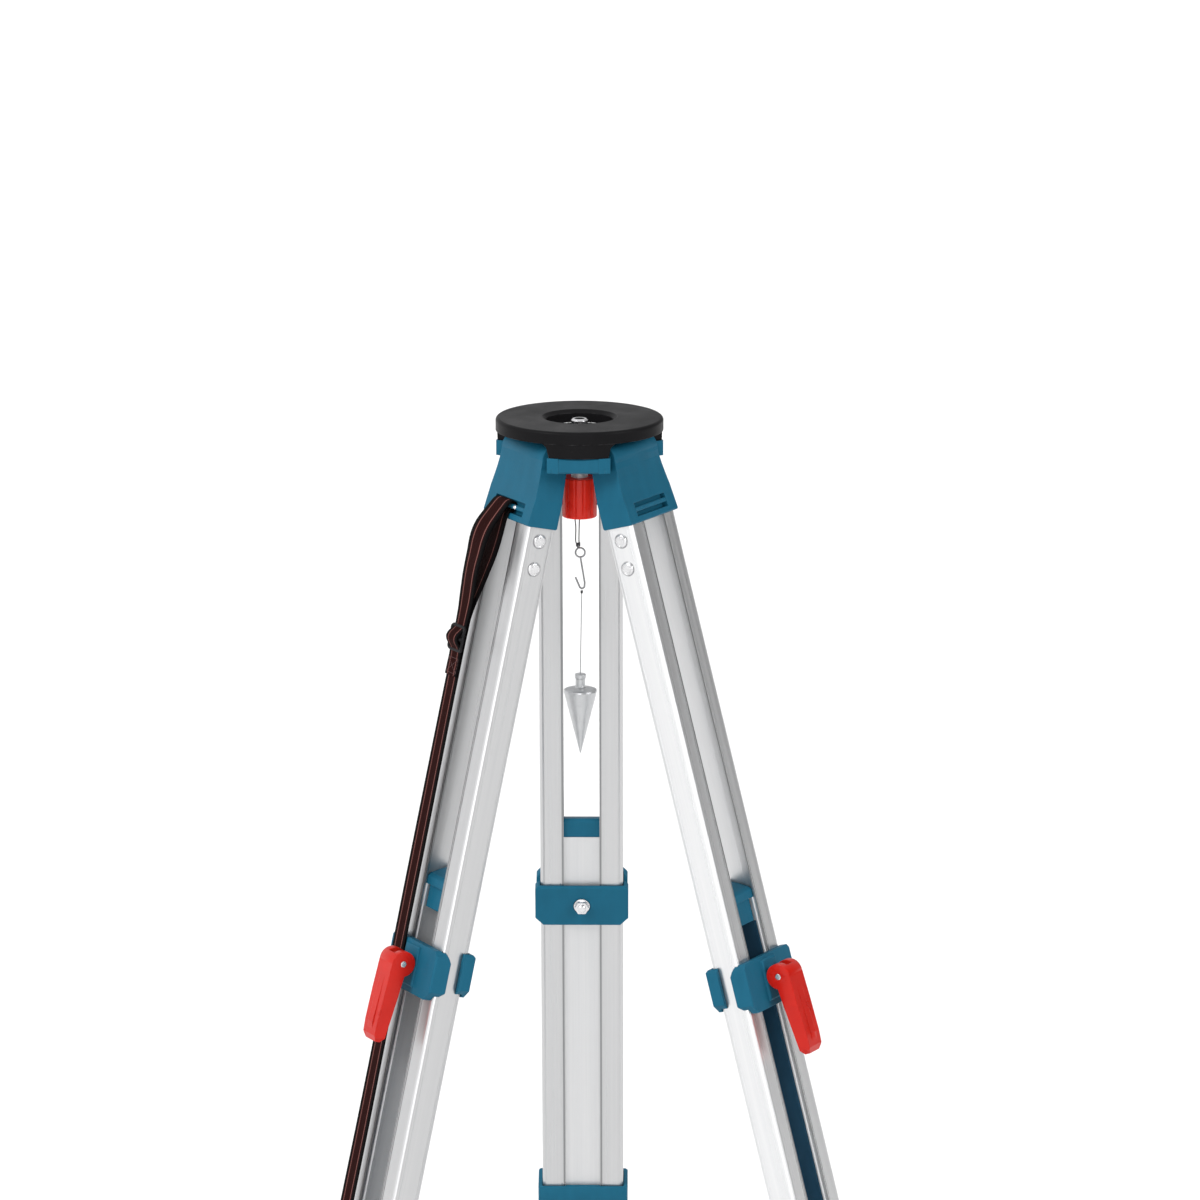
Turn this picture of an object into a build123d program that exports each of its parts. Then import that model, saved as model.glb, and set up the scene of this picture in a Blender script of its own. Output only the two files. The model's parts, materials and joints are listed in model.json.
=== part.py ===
from build123d import *
import os
from math import sin, cos, radians

# A surveying tripod: round head, three legs drawn out on the ground, a plumb
# bob under the instrument screw and a carry strap on the left leg.
#
# Frame (mm): origin on the axis of the instrument screw, halfway down its free
# end, +Z up, the rear leg towards +Y.  Head parts are placed by their depth
# below the head's top face.  Each leg is drawn hanging straight down from its
# hinge, in three measures:
#   x     sideways
#   out   outwards from the hinge axis
#   down  down the leg from the hinge axis
# It is then swung out by its splay and turned to its place round the head.

# ------------------------------------------------------------ stance and hinges
HEAD_TOP_Z = 6.5          # head's top, above the origin
WORK_HEIGHT = 1295.0      # head's top above the ground
GROUND_Z = HEAD_TOP_Z - WORK_HEIGHT
SPLAY = {"rear": 14.3, "left": 13.1, "right": 15.8}       # degrees from the vertical
AZIMUTH = {"rear": 0.0, "left": 120.0, "right": -120.0}   # degrees about Z
THIRDS = (0, 120, 240)    # the head's three repeats
SIDES = (-1, 1)

HINGE_R = 49.0            # hinge axis from the centre line
HINGE_Z = HEAD_TOP_Z - 30.0
AXLE_R = 4.0
AXLE_HALF = 56.0

# ------------------------------------------------------------------- head
HEAD_R = 80.0
HEAD_RIM = 12.0           # plate thickness
HEAD_BORE_R = 32.0
LUG_TOP = 6.0             # inside the plate
LUG_DEPTH = 25.5          # lug underside
CAP_BOTTOM = LUG_DEPTH + 14.5
CAP_BOSS_X = 24.5
CAP_SCREW_X, CAP_SCREW_Y = 24.0, -72.5
CAP_SCREW_SEAT = CAP_BOTTOM - 4.2

ARM_PIVOT_Y = -47.0
ARM_TOP = HEAD_RIM + 0.3
ARM_BOTTOM = ARM_TOP + 3.0
ARM_SLOT_R = 10.1
ARM_SLOT_HALF = 12.0      # slot end centres from the middle

BUSH_FLANGE_BOTTOM = ARM_TOP - 0.3
BUSH_BOTTOM = ARM_BOTTOM + 0.5
SCREW_R = 7.9375          # 5/8 inch instrument screw
SCREW_TOP = 2.0
SCREW_MOUTH_END = 11.0
KNOB_R = 16.5
KNOB_TOP = 58.6
KNOB_END = 97.3
SCREW_END = KNOB_END - 6.0

# ------------------------------------------------------------------- plumb set
PLUMB_X = 0.6             # the set hangs a little off the centre line
RING_DEPTH = 132.8
HOOK_WIRE_R = 0.85
CORD_R = 0.6
LINE_R = 0.5
KNOT_DEPTH = 170.9
KNOT_X = 2.0
BOB_TOP = 252.0

# ------------------------------------------------------------------- leg, upper
CAST_HALF_TOP = 40.0      # casting half width at the hinge
CAST_HALF = 44.0          # and at its lower face
CAST_END = 66.0
BARREL_R = 13.5           # barrel round the axle

RAIL_IN, RAIL_OUT = 20.0, 41.0    # rail's inner and outer sides, x
RAIL_DEEP = 15.0          # half depth
RAIL_WALL = 1.8
RAIL_END = 850.0
RAIL_CORNER_R = 4.5
LIP = 2.2                 # rail lips reach this far towards the inner leg
LIP_T = 1.5
RIVETS_DOWN = (79.0, 106.0)
RIVET_OUT = -0.5
RIVET_R = 2.5
RIVET_HOLE_R = RIVET_R + 0.02
RIVET_HEAD_R = 6.3

# ------------------------------------------------------------------- leg, lower
INNER_HALF = 19.3         # sliding inner leg, half width
INNER_DEEP = 12.8         # half depth
INNER_WALL = 2.2
INNER_TOP = 434.0
INNER_END = 1250.0

CLAMP_DOWN = 512.0        # clamp bracket's centre on the rear leg
BOLT_DOWN = CLAMP_DOWN - 3
BRACKET_HALF_H = 24.5
BAND_HALF_H = 21.5
BRACKET_FACE = 23.0       # bracket's outward face
SEAT_FACE = 25.2          # cam seat's outward face
BAND_BACK = -19.5         # band's inward face
CLAMP_INSIDE = RAIL_OUT + 0.5     # half width between the clamp's cheeks
NUT_SEAT = BAND_BACK + 1.2

LEVER_OUT = 38.0          # lever pivot
LEVER_R = 12.3
LEVER_HALF = 13.0
LEVER_LEN = 78.0
PIN_R = 3.0
BOLT_R = 4.0
BOLT_HOLE_R = BOLT_R + 0.1

FOOT_TIP_R = 1.5
SPIKE_R = 6.0
SPIKE_CONE_TOP = INNER_END + 36

# Centre of each foot's round tip down its leg; a leg that is spread further
# is drawn out further.  The lower leg is modelled at the rear leg's length.
TIP_AT = {
    leg: (HINGE_Z - GROUND_Z - FOOT_TIP_R) / cos(radians(angle))
    for leg, angle in SPLAY.items()
}
TIP_DOWN = TIP_AT["rear"]

# ------------------------------------------------------------------- strap
STRAP_X0, STRAP_X1 = 15.4, 38.8
SLIDE_TOP = 174.5
SLIDE_END = SLIDE_TOP + 30

os.makedirs("parts", exist_ok=True)


# ------------------------------------------------------------------- helpers
def save(shape, name):
    """Write one piece, as a lone solid or a group of solids."""
    solids = shape.solids()
    piece = solids[0] if len(solids) == 1 else Compound(children=list(solids))
    piece.label = name
    export_step(piece, f"parts/{name}.step")


def both_sides(points):
    """A right half outline, closed by its mirror image in x."""
    return points + [(-x, y) for x, y in reversed(points)]


def shifted(points, across, down):
    """An outline moved by (across, down)."""
    return [(a + across, b + down) for a, b in points]


def outline_face(points):
    return make_face(Polyline(*points, close=True))


def height(depth):
    """Z of a depth below the head's top."""
    return HEAD_TOP_Z - depth


def disc(radius, top, bottom, x=0.0, y=0.0):
    """An upright round bar between two depths."""
    return Pos(x, y, height((top + bottom) / 2)) * Cylinder(radius, bottom - top)


def plate(points, top, bottom):
    """An (x, y) outline between two depths."""
    return extrude(Pos(0, 0, height(bottom)) * outline_face(points), bottom - top)


def around(shape):
    """Three copies round the head's centre line, as one group."""
    return Compound(children=[Rot(0, 0, angle) * shape for angle in THIRDS])


def wire(points, radius):
    """A round wire through (x, depth) points in the plane y = 0."""
    path_points = [(x, 0, height(depth)) for x, depth in points]
    start = Vector(*path_points[0])
    heading = (Vector(*path_points[1]) - start).normalized()
    section = Plane(origin=path_points[0], z_dir=(heading.X, heading.Y, heading.Z))
    return sweep(
        section * Circle(radius), path=Polyline(*path_points), transition=Transition.ROUND
    )


# Helpers in the hanging leg's measures
def leg_pos(x, out, down):
    return Pos(x, HINGE_R + out, HINGE_Z - down)


def box(x0, x1, out0, out1, down0, down1):
    middle = leg_pos((x0 + x1) / 2, (out0 + out1) / 2, (down0 + down1) / 2)
    return middle * Box(abs(x1 - x0), abs(out1 - out0), abs(down1 - down0))


def prism_down(points, down0, down1):
    """An (x, out) outline swept down the leg."""
    section = Plane(origin=(0, HINGE_R, HINGE_Z - down1), x_dir=(1, 0, 0), z_dir=(0, 0, 1))
    return extrude(section * outline_face(points), down1 - down0)


def prism_x(points, half):
    """An (out, down) outline swept sideways from -half to half."""
    face = outline_face([(-half, HINGE_R + out, HINGE_Z - down) for out, down in points])
    return extrude(face, 2 * half, dir=(1, 0, 0))


def prism_out(points, out0, out1):
    """An (x, down) outline swept outwards."""
    face = outline_face([(x, HINGE_R + out0, HINGE_Z - down) for x, down in points])
    return extrude(face, out1 - out0, dir=(0, 1, 0))


def rod_x(radius, x0, x1, out, down):
    """A round bar lying sideways."""
    return leg_pos((x0 + x1) / 2, out, down) * Rot(0, 90, 0) * Cylinder(radius, abs(x1 - x0))


def rod_out(radius, out0, out1, down):
    """A round bar pointing outwards, at x = 0."""
    return leg_pos(0, (out0 + out1) / 2, down) * Rot(90, 0, 0) * Cylinder(radius, out1 - out0)


def rod_down(radius, down0, down1):
    """A round bar along the leg's middle."""
    return leg_pos(0, 0, (down0 + down1) / 2) * Cylinder(radius, down1 - down0)


def swing(shape, leg, drawn=0.0):
    """From the hanging frame to the leg's place, first drawn out by drawn."""
    to_hinge = Pos(0, HINGE_R, HINGE_Z)
    from_hinge = Pos(0, -HINGE_R, -HINGE_Z - drawn)
    return Rot(0, 0, AZIMUTH[leg]) * to_hinge * Rot(SPLAY[leg], 0, 0) * from_hinge * shape


# ------------------------------------------------------------------- head parts
LUG_PLAN = both_sides([(34, -84), (34, -67.2), (20, -59.1)])                # x, y
LUG_TAPER = both_sides([(36, 0), (34.5, 12.0), (30.5, 15.5), (28.2, LUG_DEPTH)])  # x, depth
CAP_PLAN = both_sides([(30, -78.0), (30, -65.2), (20, -59.4)])              # x, y
ARM_PLAN = both_sides([(8, ARM_PIVOT_Y - 8), (17, -26), (17, 24), (11, 31)])  # x, y


def head_plate():
    """Round plate with three lugs, one between each two legs."""
    head = disc(HEAD_R, 0, HEAD_RIM)
    head = fillet(head.edges().sort_by(Axis.Z)[-1], 3.0)
    # each lug narrows downwards
    lug = plate(LUG_PLAN, LUG_TOP, LUG_DEPTH)
    taper_face = outline_face([(x, -90, height(depth)) for x, depth in LUG_TAPER])
    taper = extrude(taper_face, 60, dir=(0, 1, 0))
    lug = lug & taper & disc(HEAD_R - 0.5, LUG_TOP, LUG_DEPTH)
    for angle in THIRDS:
        head += Rot(0, 0, angle) * lug
    head -= disc(HEAD_BORE_R, -1, HEAD_RIM + 1)
    # conical mouth of the opening
    head -= Pos(0, 0, height(1.5)) * Cone(HEAD_BORE_R, HEAD_BORE_R + 4.0, 3.0)
    # arm pivot hole and cap screw holes
    head -= disc(3.0, 4.0, HEAD_RIM + 1, 0, ARM_PIVOT_Y)
    for angle in THIRDS:
        for side in SIDES:
            hole = disc(2.0, LUG_DEPTH - 9.0, LUG_DEPTH + 1, side * CAP_SCREW_X, CAP_SCREW_Y)
            head -= Rot(0, 0, angle) * hole
    return head


def hinge_bearing_caps():
    """A cap under each lug, holding the ends of two axles."""
    middle = height((LUG_DEPTH + CAP_BOTTOM) / 2)
    cap = plate(CAP_PLAN, LUG_DEPTH, CAP_BOTTOM)
    cap = chamfer(cap.edges().filter_by(Axis.X).group_by(Axis.Y)[0], 1.6)
    # square end bosses
    for side in SIDES:
        boss = Pos(side * CAP_BOSS_X, -74.0, middle) * Box(11.0, 11.6, CAP_BOTTOM - LUG_DEPTH)
        cap += chamfer(boss.edges().group_by(Axis.Y)[0], 0.9)
    axle_hole = rod_x(AXLE_R + 0.02, -AXLE_HALF - 0.5, AXLE_HALF + 0.5, 0, 0)
    for angle in (120, -120):
        cap -= Rot(0, 0, angle) * axle_hole
    # counterbored screw holes
    for side in SIDES:
        x = side * CAP_SCREW_X
        cap -= disc(2.1, LUG_DEPTH - 1, CAP_BOTTOM + 1, x, CAP_SCREW_Y)
        cap -= disc(4.1, CAP_SCREW_SEAT, CAP_BOTTOM + 1, x, CAP_SCREW_Y)
    cap = cap & disc(HEAD_R + 0.6, LUG_DEPTH - 1, CAP_BOTTOM + 1)
    # round dimple in the outer face of each boss
    for side in SIDES:
        cap -= Pos(side * CAP_BOSS_X, -79.5, middle) * Rot(90, 0, 0) * Cylinder(1.9, 3.0)
    return around(cap)


def cap_screws():
    """Socket head screws, two to a cap."""
    screw = disc(1.95, LUG_DEPTH - 8.0, CAP_SCREW_SEAT)
    screw += disc(3.9, CAP_SCREW_SEAT, CAP_BOTTOM - 0.2)
    socket = extrude(RegularPolygon(1.7, 6), 2.2, both=True)
    screw -= Pos(0, 0, height(CAP_BOTTOM - 1.0)) * socket
    return Compound(children=[
        Rot(0, 0, angle) * Pos(side * CAP_SCREW_X, CAP_SCREW_Y, 0) * screw
        for angle in THIRDS
        for side in SIDES
    ])


def hinge_axles():
    axle = rod_x(AXLE_R, -AXLE_HALF, AXLE_HALF, 0, 0)
    return around(chamfer(axle.edges().filter_by(GeomType.CIRCLE), 0.6))


def centring_arm():
    """Slotted arm under the plate, swivelling at its -Y end."""
    arm = plate(ARM_PLAN, ARM_TOP, ARM_BOTTOM)
    arm = fillet(arm.edges().filter_by(Axis.Z), 3.0)
    # round-ended slot
    arm -= Pos(0, 0, height((ARM_TOP + ARM_BOTTOM) / 2)) * Box(
        2 * ARM_SLOT_R, 2 * ARM_SLOT_HALF, ARM_BOTTOM - ARM_TOP + 2
    )
    for side in SIDES:
        arm -= disc(ARM_SLOT_R, ARM_TOP - 1, ARM_BOTTOM + 1, 0, side * ARM_SLOT_HALF)
    arm -= disc(3.56, ARM_TOP - 1, ARM_BOTTOM + 1, 0, ARM_PIVOT_Y)
    return arm


def arm_pivot_screw():
    """Shoulder screw the arm swivels on."""
    head_top = ARM_BOTTOM + 0.3
    pivot = disc(2.95, 5.0, HEAD_RIM, 0, ARM_PIVOT_Y)
    pivot += disc(3.5, HEAD_RIM, head_top, 0, ARM_PIVOT_Y)
    pivot += disc(5.5, head_top, head_top + 3.0, 0, ARM_PIVOT_Y)
    return pivot


def screw_bush():
    """Flanged bush that carries the screw along the arm's slot."""
    bush = disc(10.0, BUSH_FLANGE_BOTTOM, BUSH_BOTTOM)
    bush += disc(14.0, BUSH_FLANGE_BOTTOM - 1.6, BUSH_FLANGE_BOTTOM)
    bush -= disc(SCREW_R + 0.05, 0, 40)
    return bush


def centre_screw():
    """Hollow instrument screw with a shoulder under the bush."""
    screw = disc(SCREW_R, SCREW_TOP, SCREW_END)
    screw = chamfer(screw.edges().sort_by(Axis.Z)[-1], 1.4)
    screw += disc(11.5, BUSH_BOTTOM + 0.2, BUSH_BOTTOM + 3.7)
    screw -= disc(3.0, 0, 120)
    # groove round the lower end of the free length, and a wider mouth
    screw -= disc(SCREW_R + 1, 9.6, SCREW_MOUTH_END) - disc(7.2, 9.0, 12.0)
    screw -= disc(4.6, 0, SCREW_MOUTH_END)
    return screw


def screw_knob():
    """Knob with twelve grooves round its side."""
    knob = disc(KNOB_R, KNOB_TOP, KNOB_END)
    knob = fillet(knob.edges().filter_by(GeomType.CIRCLE), 1.2)
    groove_r = KNOB_R + 1.2
    for i in range(12):
        angle = radians(30 * i + 15)
        knob -= disc(
            2.0, KNOB_TOP - 1, KNOB_END + 1, groove_r * cos(angle), groove_r * sin(angle)
        )
    knob -= disc(SCREW_R + 0.02, KNOB_TOP - 1, SCREW_END + 0.02)
    knob -= disc(3.2, KNOB_TOP, KNOB_END + 1)
    return knob


# ------------------------------------------------------------------- plumb parts
HOOK_PATH = [    # x, depth
    (0.9, 138.0), (4.9, 162.5), (4.6, 166.6), (2.4, 168.4), (0.2, 167.0), (-4.0, 157.0),
]
BOB_PROFILE = [  # radius, depth
    (0, BOB_TOP), (4.6, BOB_TOP), (5.4, 252.8), (5.4, 256.0), (4.7, 256.6), (4.7, 264.5),
    (5.6, 265.5), (13.2, 266.6), (15.6, 267.6), (16.0, 269.2), (15.2, 272.5),
    (0.7, 329.6), (0.3, 330.6), (0, 330.8),
]


def plumb_hook():
    """Wire hook under an upright ring."""
    ring = Pos(PLUMB_X, 0, height(RING_DEPTH)) * Rot(90, 0, 0) * Torus(4.5, HOOK_WIRE_R)
    return ring + wire(HOOK_PATH, HOOK_WIRE_R)


def plumb_cord_loop():
    """Two strands from a short bar under the knob down to the hook's ring."""
    strand_top = KNOB_END + 0.6
    bar_depth = KNOB_END + 1.0
    upright = wire([(PLUMB_X, strand_top), (PLUMB_X, RING_DEPTH - 5.55)], CORD_R)
    slanted = wire([(-4.6, strand_top), (-0.75, RING_DEPTH - 5.75)], CORD_R)
    bar = wire([(-5.2, bar_depth), (1.2, bar_depth)], CORD_R)
    return upright + slanted + bar


def plumb_line():
    knot = Pos(KNOT_X, 0, height(KNOT_DEPTH)) * Sphere(1.3)
    return knot + wire([(KNOT_X, KNOT_DEPTH + 0.1), (PLUMB_X, BOB_TOP)], LINE_R)


def plumb_bob():
    """Turned bob with a blind hole for the line and a stub at its bottom."""
    face = outline_face([(x + PLUMB_X, 0, height(depth)) for x, depth in BOB_PROFILE])
    bob = revolve(face, Axis((PLUMB_X, 0, 0), (0, 0, 1)), 360)
    bob -= disc(LINE_R + 0.02, BOB_TOP - 1, BOB_TOP + 4, PLUMB_X, 0)
    bob += disc(LINE_R, BOB_TOP + 3, BOB_TOP + 5, PLUMB_X, 0)
    return bob


# ------------------------------------------------------------------- upper leg
CAST_SIDE = [    # out, down
    (-13.5, 0), (-15.0, 14), (-15.0, CAST_END), (17.4, CAST_END), (16.5, 58), (15.4, 48),
    (14.3, 38), (13.4, 28), (12.9, 20), (12.8, 12), (13.0, 6), (13.4, 0),
]
CAST_FRONT = both_sides([    # x, down
    (CAST_HALF_TOP, -20), (CAST_HALF_TOP, 8), (CAST_HALF, 40), (CAST_HALF, CAST_END + 1),
])
CORNER = [       # quarter turn in radii: x, out
    (0, 1), (0.383, 0.924), (0.7071, 0.7071), (0.924, 0.383), (1, 0),
]
SHOE_PLAN = both_sides([(44, -18), (45.5, -16), (45.5, 16), (44, 18)])    # x, out


def leg_casting():
    body = prism_x(CAST_SIDE, 50) + rod_x(BARREL_R, -50, 50, 0, 0)
    body = body & prism_out(CAST_FRONT, -30, 30)
    body = chamfer(body.edges().filter_by(Axis.X).group_by(Axis.Z)[0], 1.2)
    # hollow in the middle of the lower face
    body -= box(-14.5, 14.5, -10.5, 8.0, 22, CAST_END + 13)
    # plugs inside the rails, with their rivet holes
    gap = RAIL_WALL + 0.15
    plug_deep = RAIL_DEEP - RAIL_WALL - 0.15
    for side in SIDES:
        body += box(
            side * (RAIL_IN + gap), side * (RAIL_OUT - gap),
            -plug_deep, plug_deep, CAST_END - 2, CAST_END + 56,
        )
        for down in RIVETS_DOWN:
            x0, x1 = side * (RAIL_OUT - 12.0), side * (RAIL_OUT + 2)
            body -= rod_x(RIVET_HOLE_R, x0, x1, RIVET_OUT, down)
    # recess in the outward face, crossed by a bar
    body -= box(-28.5, 28.5, 10.2, 20, 47.0, 60.0)
    bar = box(-29.5, 29.5, 12.6, 15.8, 51.2, 55.8)
    body += fillet(bar.edges().filter_by(Axis.X), 1.4)
    body -= rod_x(AXLE_R + 0.06, -60, 60, 0, 0)
    return body


def rail_outline(side):
    """(x, out) outline: rounded outer corners, lips towards the inner leg."""
    half = [
        (RAIL_IN, RAIL_DEEP - LIP_T), (RAIL_IN - LIP, RAIL_DEEP - LIP_T),
        (RAIL_IN - LIP, RAIL_DEEP),
    ]
    centre_x, centre_out = RAIL_OUT - RAIL_CORNER_R, RAIL_DEEP - RAIL_CORNER_R
    half += [(centre_x + RAIL_CORNER_R * a, centre_out + RAIL_CORNER_R * b) for a, b in CORNER]
    whole = half + [(x, -out) for x, out in reversed(half)]
    return [(side * x, out) for x, out in whole]


def rail(side):
    """Hollow extruded rail on the side given by the sign."""
    cut_ends = (CAST_END - 1, RAIL_END + 1)
    body = prism_down(rail_outline(side), CAST_END + 0.05, RAIL_END)
    core_deep = RAIL_DEEP - RAIL_WALL
    body -= box(
        side * (RAIL_IN + RAIL_WALL), side * (RAIL_OUT - RAIL_WALL),
        -core_deep, core_deep, *cut_ends,
    )
    # two shallow grooves in the outer side
    x0, x1 = side * (RAIL_OUT - 0.35), side * (RAIL_OUT + 1)
    for out in (-9.2, 9.2):
        body -= box(x0, x1, out - 0.5, out + 0.5, *cut_ends)
    # one groove in each of the outward and inward faces
    x0, x1 = side * (RAIL_IN + 0.6), side * (RAIL_IN + 1.8)
    for face in (1, -1):
        body -= box(x0, x1, face * (RAIL_DEEP - 0.9), face * (RAIL_DEEP + 1), *cut_ends)
    x0, x1 = side * (RAIL_OUT - 6), side * (RAIL_OUT + 2)
    for down in RIVETS_DOWN:
        body -= rod_x(RIVET_HOLE_R, x0, x1, RIVET_OUT, down)
    return body


def rails():
    return Compound(children=[rail(side) for side in SIDES])


def rail_rivets():
    """Domed rivets, each with a ring groove in its head."""
    rivets = []
    for side in SIDES:
        for down in RIVETS_DOWN:
            def bar(radius, start, end):
                """A bar between two distances beyond the rail's outer side."""
                x0, x1 = side * (RAIL_OUT + start), side * (RAIL_OUT + end)
                return rod_x(radius, x0, x1, RIVET_OUT, down)

            shank = bar(RIVET_R, -11.8, 0.05)
            dome = bar(RIVET_HEAD_R, 0.02, 1.9)
            edges = dome.edges().filter_by(GeomType.CIRCLE).sort_by(Axis.X)
            dome = fillet(edges[-1 if side > 0 else 0], 1.6)
            groove = bar(RIVET_HEAD_R - 1.6, 1.5, 3) - bar(RIVET_HEAD_R - 2.8, 1.4, 4)
            rivets.append((shank + dome) - groove)
    return Compound(children=rivets)


def rail_end_shoe():
    """Shoe that ties the two rails together at their lower end."""
    body = prism_down(SHOE_PLAN, RAIL_END - 10, RAIL_END + 14)
    pocket_deep = RAIL_DEEP + 0.1
    for side in SIDES:
        body -= box(
            side * (RAIL_IN - 2.4), side * (RAIL_OUT + 0.1),
            -pocket_deep, pocket_deep, RAIL_END - 11, RAIL_END + 0.1,
        )
    half, deep = INNER_HALF + 0.5, INNER_DEEP + 0.5
    body -= box(-half, half, -deep, deep, RAIL_END - 12, RAIL_END + 15)
    # bridge for the end of a carry strap
    top = RAIL_END + 2
    bridge = box(12.4, 41.8, 17.0, 23.0, top, top + 6.5)
    bridge -= box(14.8, 39.4, 16.0, 20.6, top - 1, top + 8)
    bridge = fillet(bridge.edges().filter_by(Axis.Z).group_by(Axis.Y)[-1], 1.8)
    return body + bridge


# ------------------------------------------------------------------- inner leg
CHANNEL_IN = INNER_HALF - INNER_WALL    # inside of the channel's side wall, x
CHANNEL_PLAN = both_sides([             # x, out
    (INNER_HALF, -INNER_DEEP), (INNER_HALF, INNER_DEEP), (CHANNEL_IN - 0.8, INNER_DEEP),
    (CHANNEL_IN - 0.8, INNER_DEEP - 1.8), (CHANNEL_IN, INNER_DEEP - 2.4),
    (CHANNEL_IN, -INNER_DEEP + INNER_WALL),
])
INNER_CAP_SIDE = [                      # out, down from the inner leg's top
    (-INNER_DEEP, 0), (-INNER_DEEP, -17), (-INNER_DEEP + 2.5, -20),
    (INNER_DEEP - 3, -11), (INNER_DEEP, -8), (INNER_DEEP, 0),
]
INNER_CAP_FRONT = both_sides([          # x, down from the inner leg's top
    (INNER_HALF - 3.5, -22), (INNER_HALF, -15), (INNER_HALF, 1),
])


def inner_leg():
    """Channel open outwards, with thickened lips and a bolt hole in its back."""
    body = prism_down(CHANNEL_PLAN, INNER_TOP, INNER_END)
    body -= rod_out(BOLT_HOLE_R, -INNER_DEEP - 1, -INNER_DEEP + INNER_WALL + 1, BOLT_DOWN)
    return body


def inner_leg_cap():
    """Sloped cap on the inner leg, with a plug down inside the channel."""
    plug = box(
        -CHANNEL_IN + 2.4, CHANNEL_IN - 1.0,
        -INNER_DEEP + INNER_WALL + 0.1, INNER_DEEP - 3.0, INNER_TOP, INNER_TOP + 22,
    )
    cap = prism_x(shifted(INNER_CAP_SIDE, 0, INNER_TOP), INNER_HALF)
    cap = cap & prism_out(shifted(INNER_CAP_FRONT, 0, INNER_TOP), -20, 20)
    return cap + plug


def inner_leg_liner():
    """Strip inside the channel's -x wall."""
    return box(
        -CHANNEL_IN + 0.02, -CHANNEL_IN + 1.8,
        -INNER_DEEP + INNER_WALL + 0.1, INNER_DEEP - 2.5, INNER_TOP + 22.5, INNER_END - 40,
    )


# ------------------------------------------------------------------- clamp
LEVER_SIDE = [     # out, down from the lever's pivot
    (LEVER_R * 0.94, -LEVER_R * 0.34), (LEVER_R + 0.2, 2), (15.6, 60), (15.4, 72),
    (12.5, LEVER_LEN), (7.0, LEVER_LEN + 0.5), (3.4, LEVER_LEN - 4), (1.8, 60),
    (-2.2, 22), (-3.5, 11), (-2, 0),
]
LEVER_FRONT = both_sides([    # x, down from the pivot
    (LEVER_HALF, -20), (LEVER_HALF, 30), (LEVER_HALF - 1.5, 74),
    (LEVER_HALF - 5, LEVER_LEN + 2),
])
LEVER_HOLLOW = [(-9, 19), (9.5, 19), (12.6, 58), (11.5, 70), (-9, 66)]            # out, down
LEVER_SPINE = [(11.8, 12), (13.2, 14), (16.6, 60), (15.0, 70), (13.0, 60)]        # out, down


def clamp_bracket():
    """Outward half of the clamp, with the lever's cam seat."""
    inside, outside = CLAMP_INSIDE, CLAMP_INSIDE + 4.0
    top, end = CLAMP_DOWN - BRACKET_HALF_H, CLAMP_DOWN + BRACKET_HALF_H
    front = both_sides([
        (outside - 5, top), (outside, top + 5), (outside, end - 9), (outside - 9, end),
    ])
    profile = [
        (6.0, top + 10), (12.0, top), (30, top), (30, end), (13.5, end), (6.0, end - 10),
    ]
    body = prism_out(front, 6.0, BRACKET_FACE) & prism_x(profile, 60)
    body -= box(-inside, inside, 0, RAIL_DEEP + 0.3, top - 1, end + 1)
    body = fillet(body.edges().filter_by(Axis.Z).group_by(Axis.Y)[-1], 2.2)
    # cam seat
    seat = box(-13.0, 13.0, BRACKET_FACE - 2, SEAT_FACE, top + 3.5, end - 6)
    body += chamfer(seat.edges().group_by(Axis.Y)[-1], 1.2)
    # hollows in the face towards the rails
    for side in SIDES:
        body -= box(
            side * 12.0, side * (inside - 3.0),
            RAIL_DEEP - 1, BRACKET_FACE - 3.2, top + 4.0, end - 6.0,
        )
    body -= rod_out(BOLT_HOLE_R, RAIL_DEEP - 2, SEAT_FACE + 2, BOLT_DOWN)
    return body


def clamp_band():
    """Inward half of the clamp, with the nut's round seat."""
    inside, outside = CLAMP_INSIDE, CLAMP_INSIDE + 4.8
    top, end = BOLT_DOWN - BAND_HALF_H, BOLT_DOWN + BAND_HALF_H
    front = both_sides([
        (outside - 2.5, top), (outside, top + 2.5), (outside, end - 8), (outside - 8, end),
    ])
    body = prism_out(front, BAND_BACK, -7.0)
    body -= box(-inside, inside, -RAIL_DEEP - 0.4, 0, top - 1, end + 1)
    upper_back_edge = body.edges().filter_by(Axis.X).group_by(Axis.Y)[0].group_by(Axis.Z)[-1]
    body = chamfer(upper_back_edge, 1.8)
    body -= rod_out(BOLT_HOLE_R, -30, 0, BOLT_DOWN)
    body -= rod_out(8.6, BAND_BACK - 1, NUT_SEAT, BOLT_DOWN)
    return body


def clamp_bolt():
    """Bolt through both halves, with an eye for the lever's pin."""
    bolt = rod_out(BOLT_R, BAND_BACK - 6.6, LEVER_OUT - 4, BOLT_DOWN)
    bolt = chamfer(bolt.edges().filter_by(GeomType.CIRCLE).sort_by(Axis.Y)[0], 0.8)
    bolt = bolt + rod_x(7.2, -5.0, 5.0, LEVER_OUT, BOLT_DOWN)
    bolt -= rod_x(PIN_R + 0.02, -8, 8, LEVER_OUT, BOLT_DOWN)
    return bolt


def clamp_nut():
    """Flanged hexagon nut."""
    flange_back = NUT_SEAT - 1.4
    nut = rod_out(7.9, flange_back, NUT_SEAT, BOLT_DOWN)
    hexagon = extrude(RegularPolygon(7.2, 6), 4.6)
    hexagon = leg_pos(0, flange_back, BOLT_DOWN) * Rot(90, 0, 0) * hexagon
    nut += hexagon & rod_out(7.0, NUT_SEAT - 8, NUT_SEAT, BOLT_DOWN)
    nut -= rod_out(BOLT_R + 0.02, NUT_SEAT - 12, NUT_SEAT + 2, BOLT_DOWN)
    return nut


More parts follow.
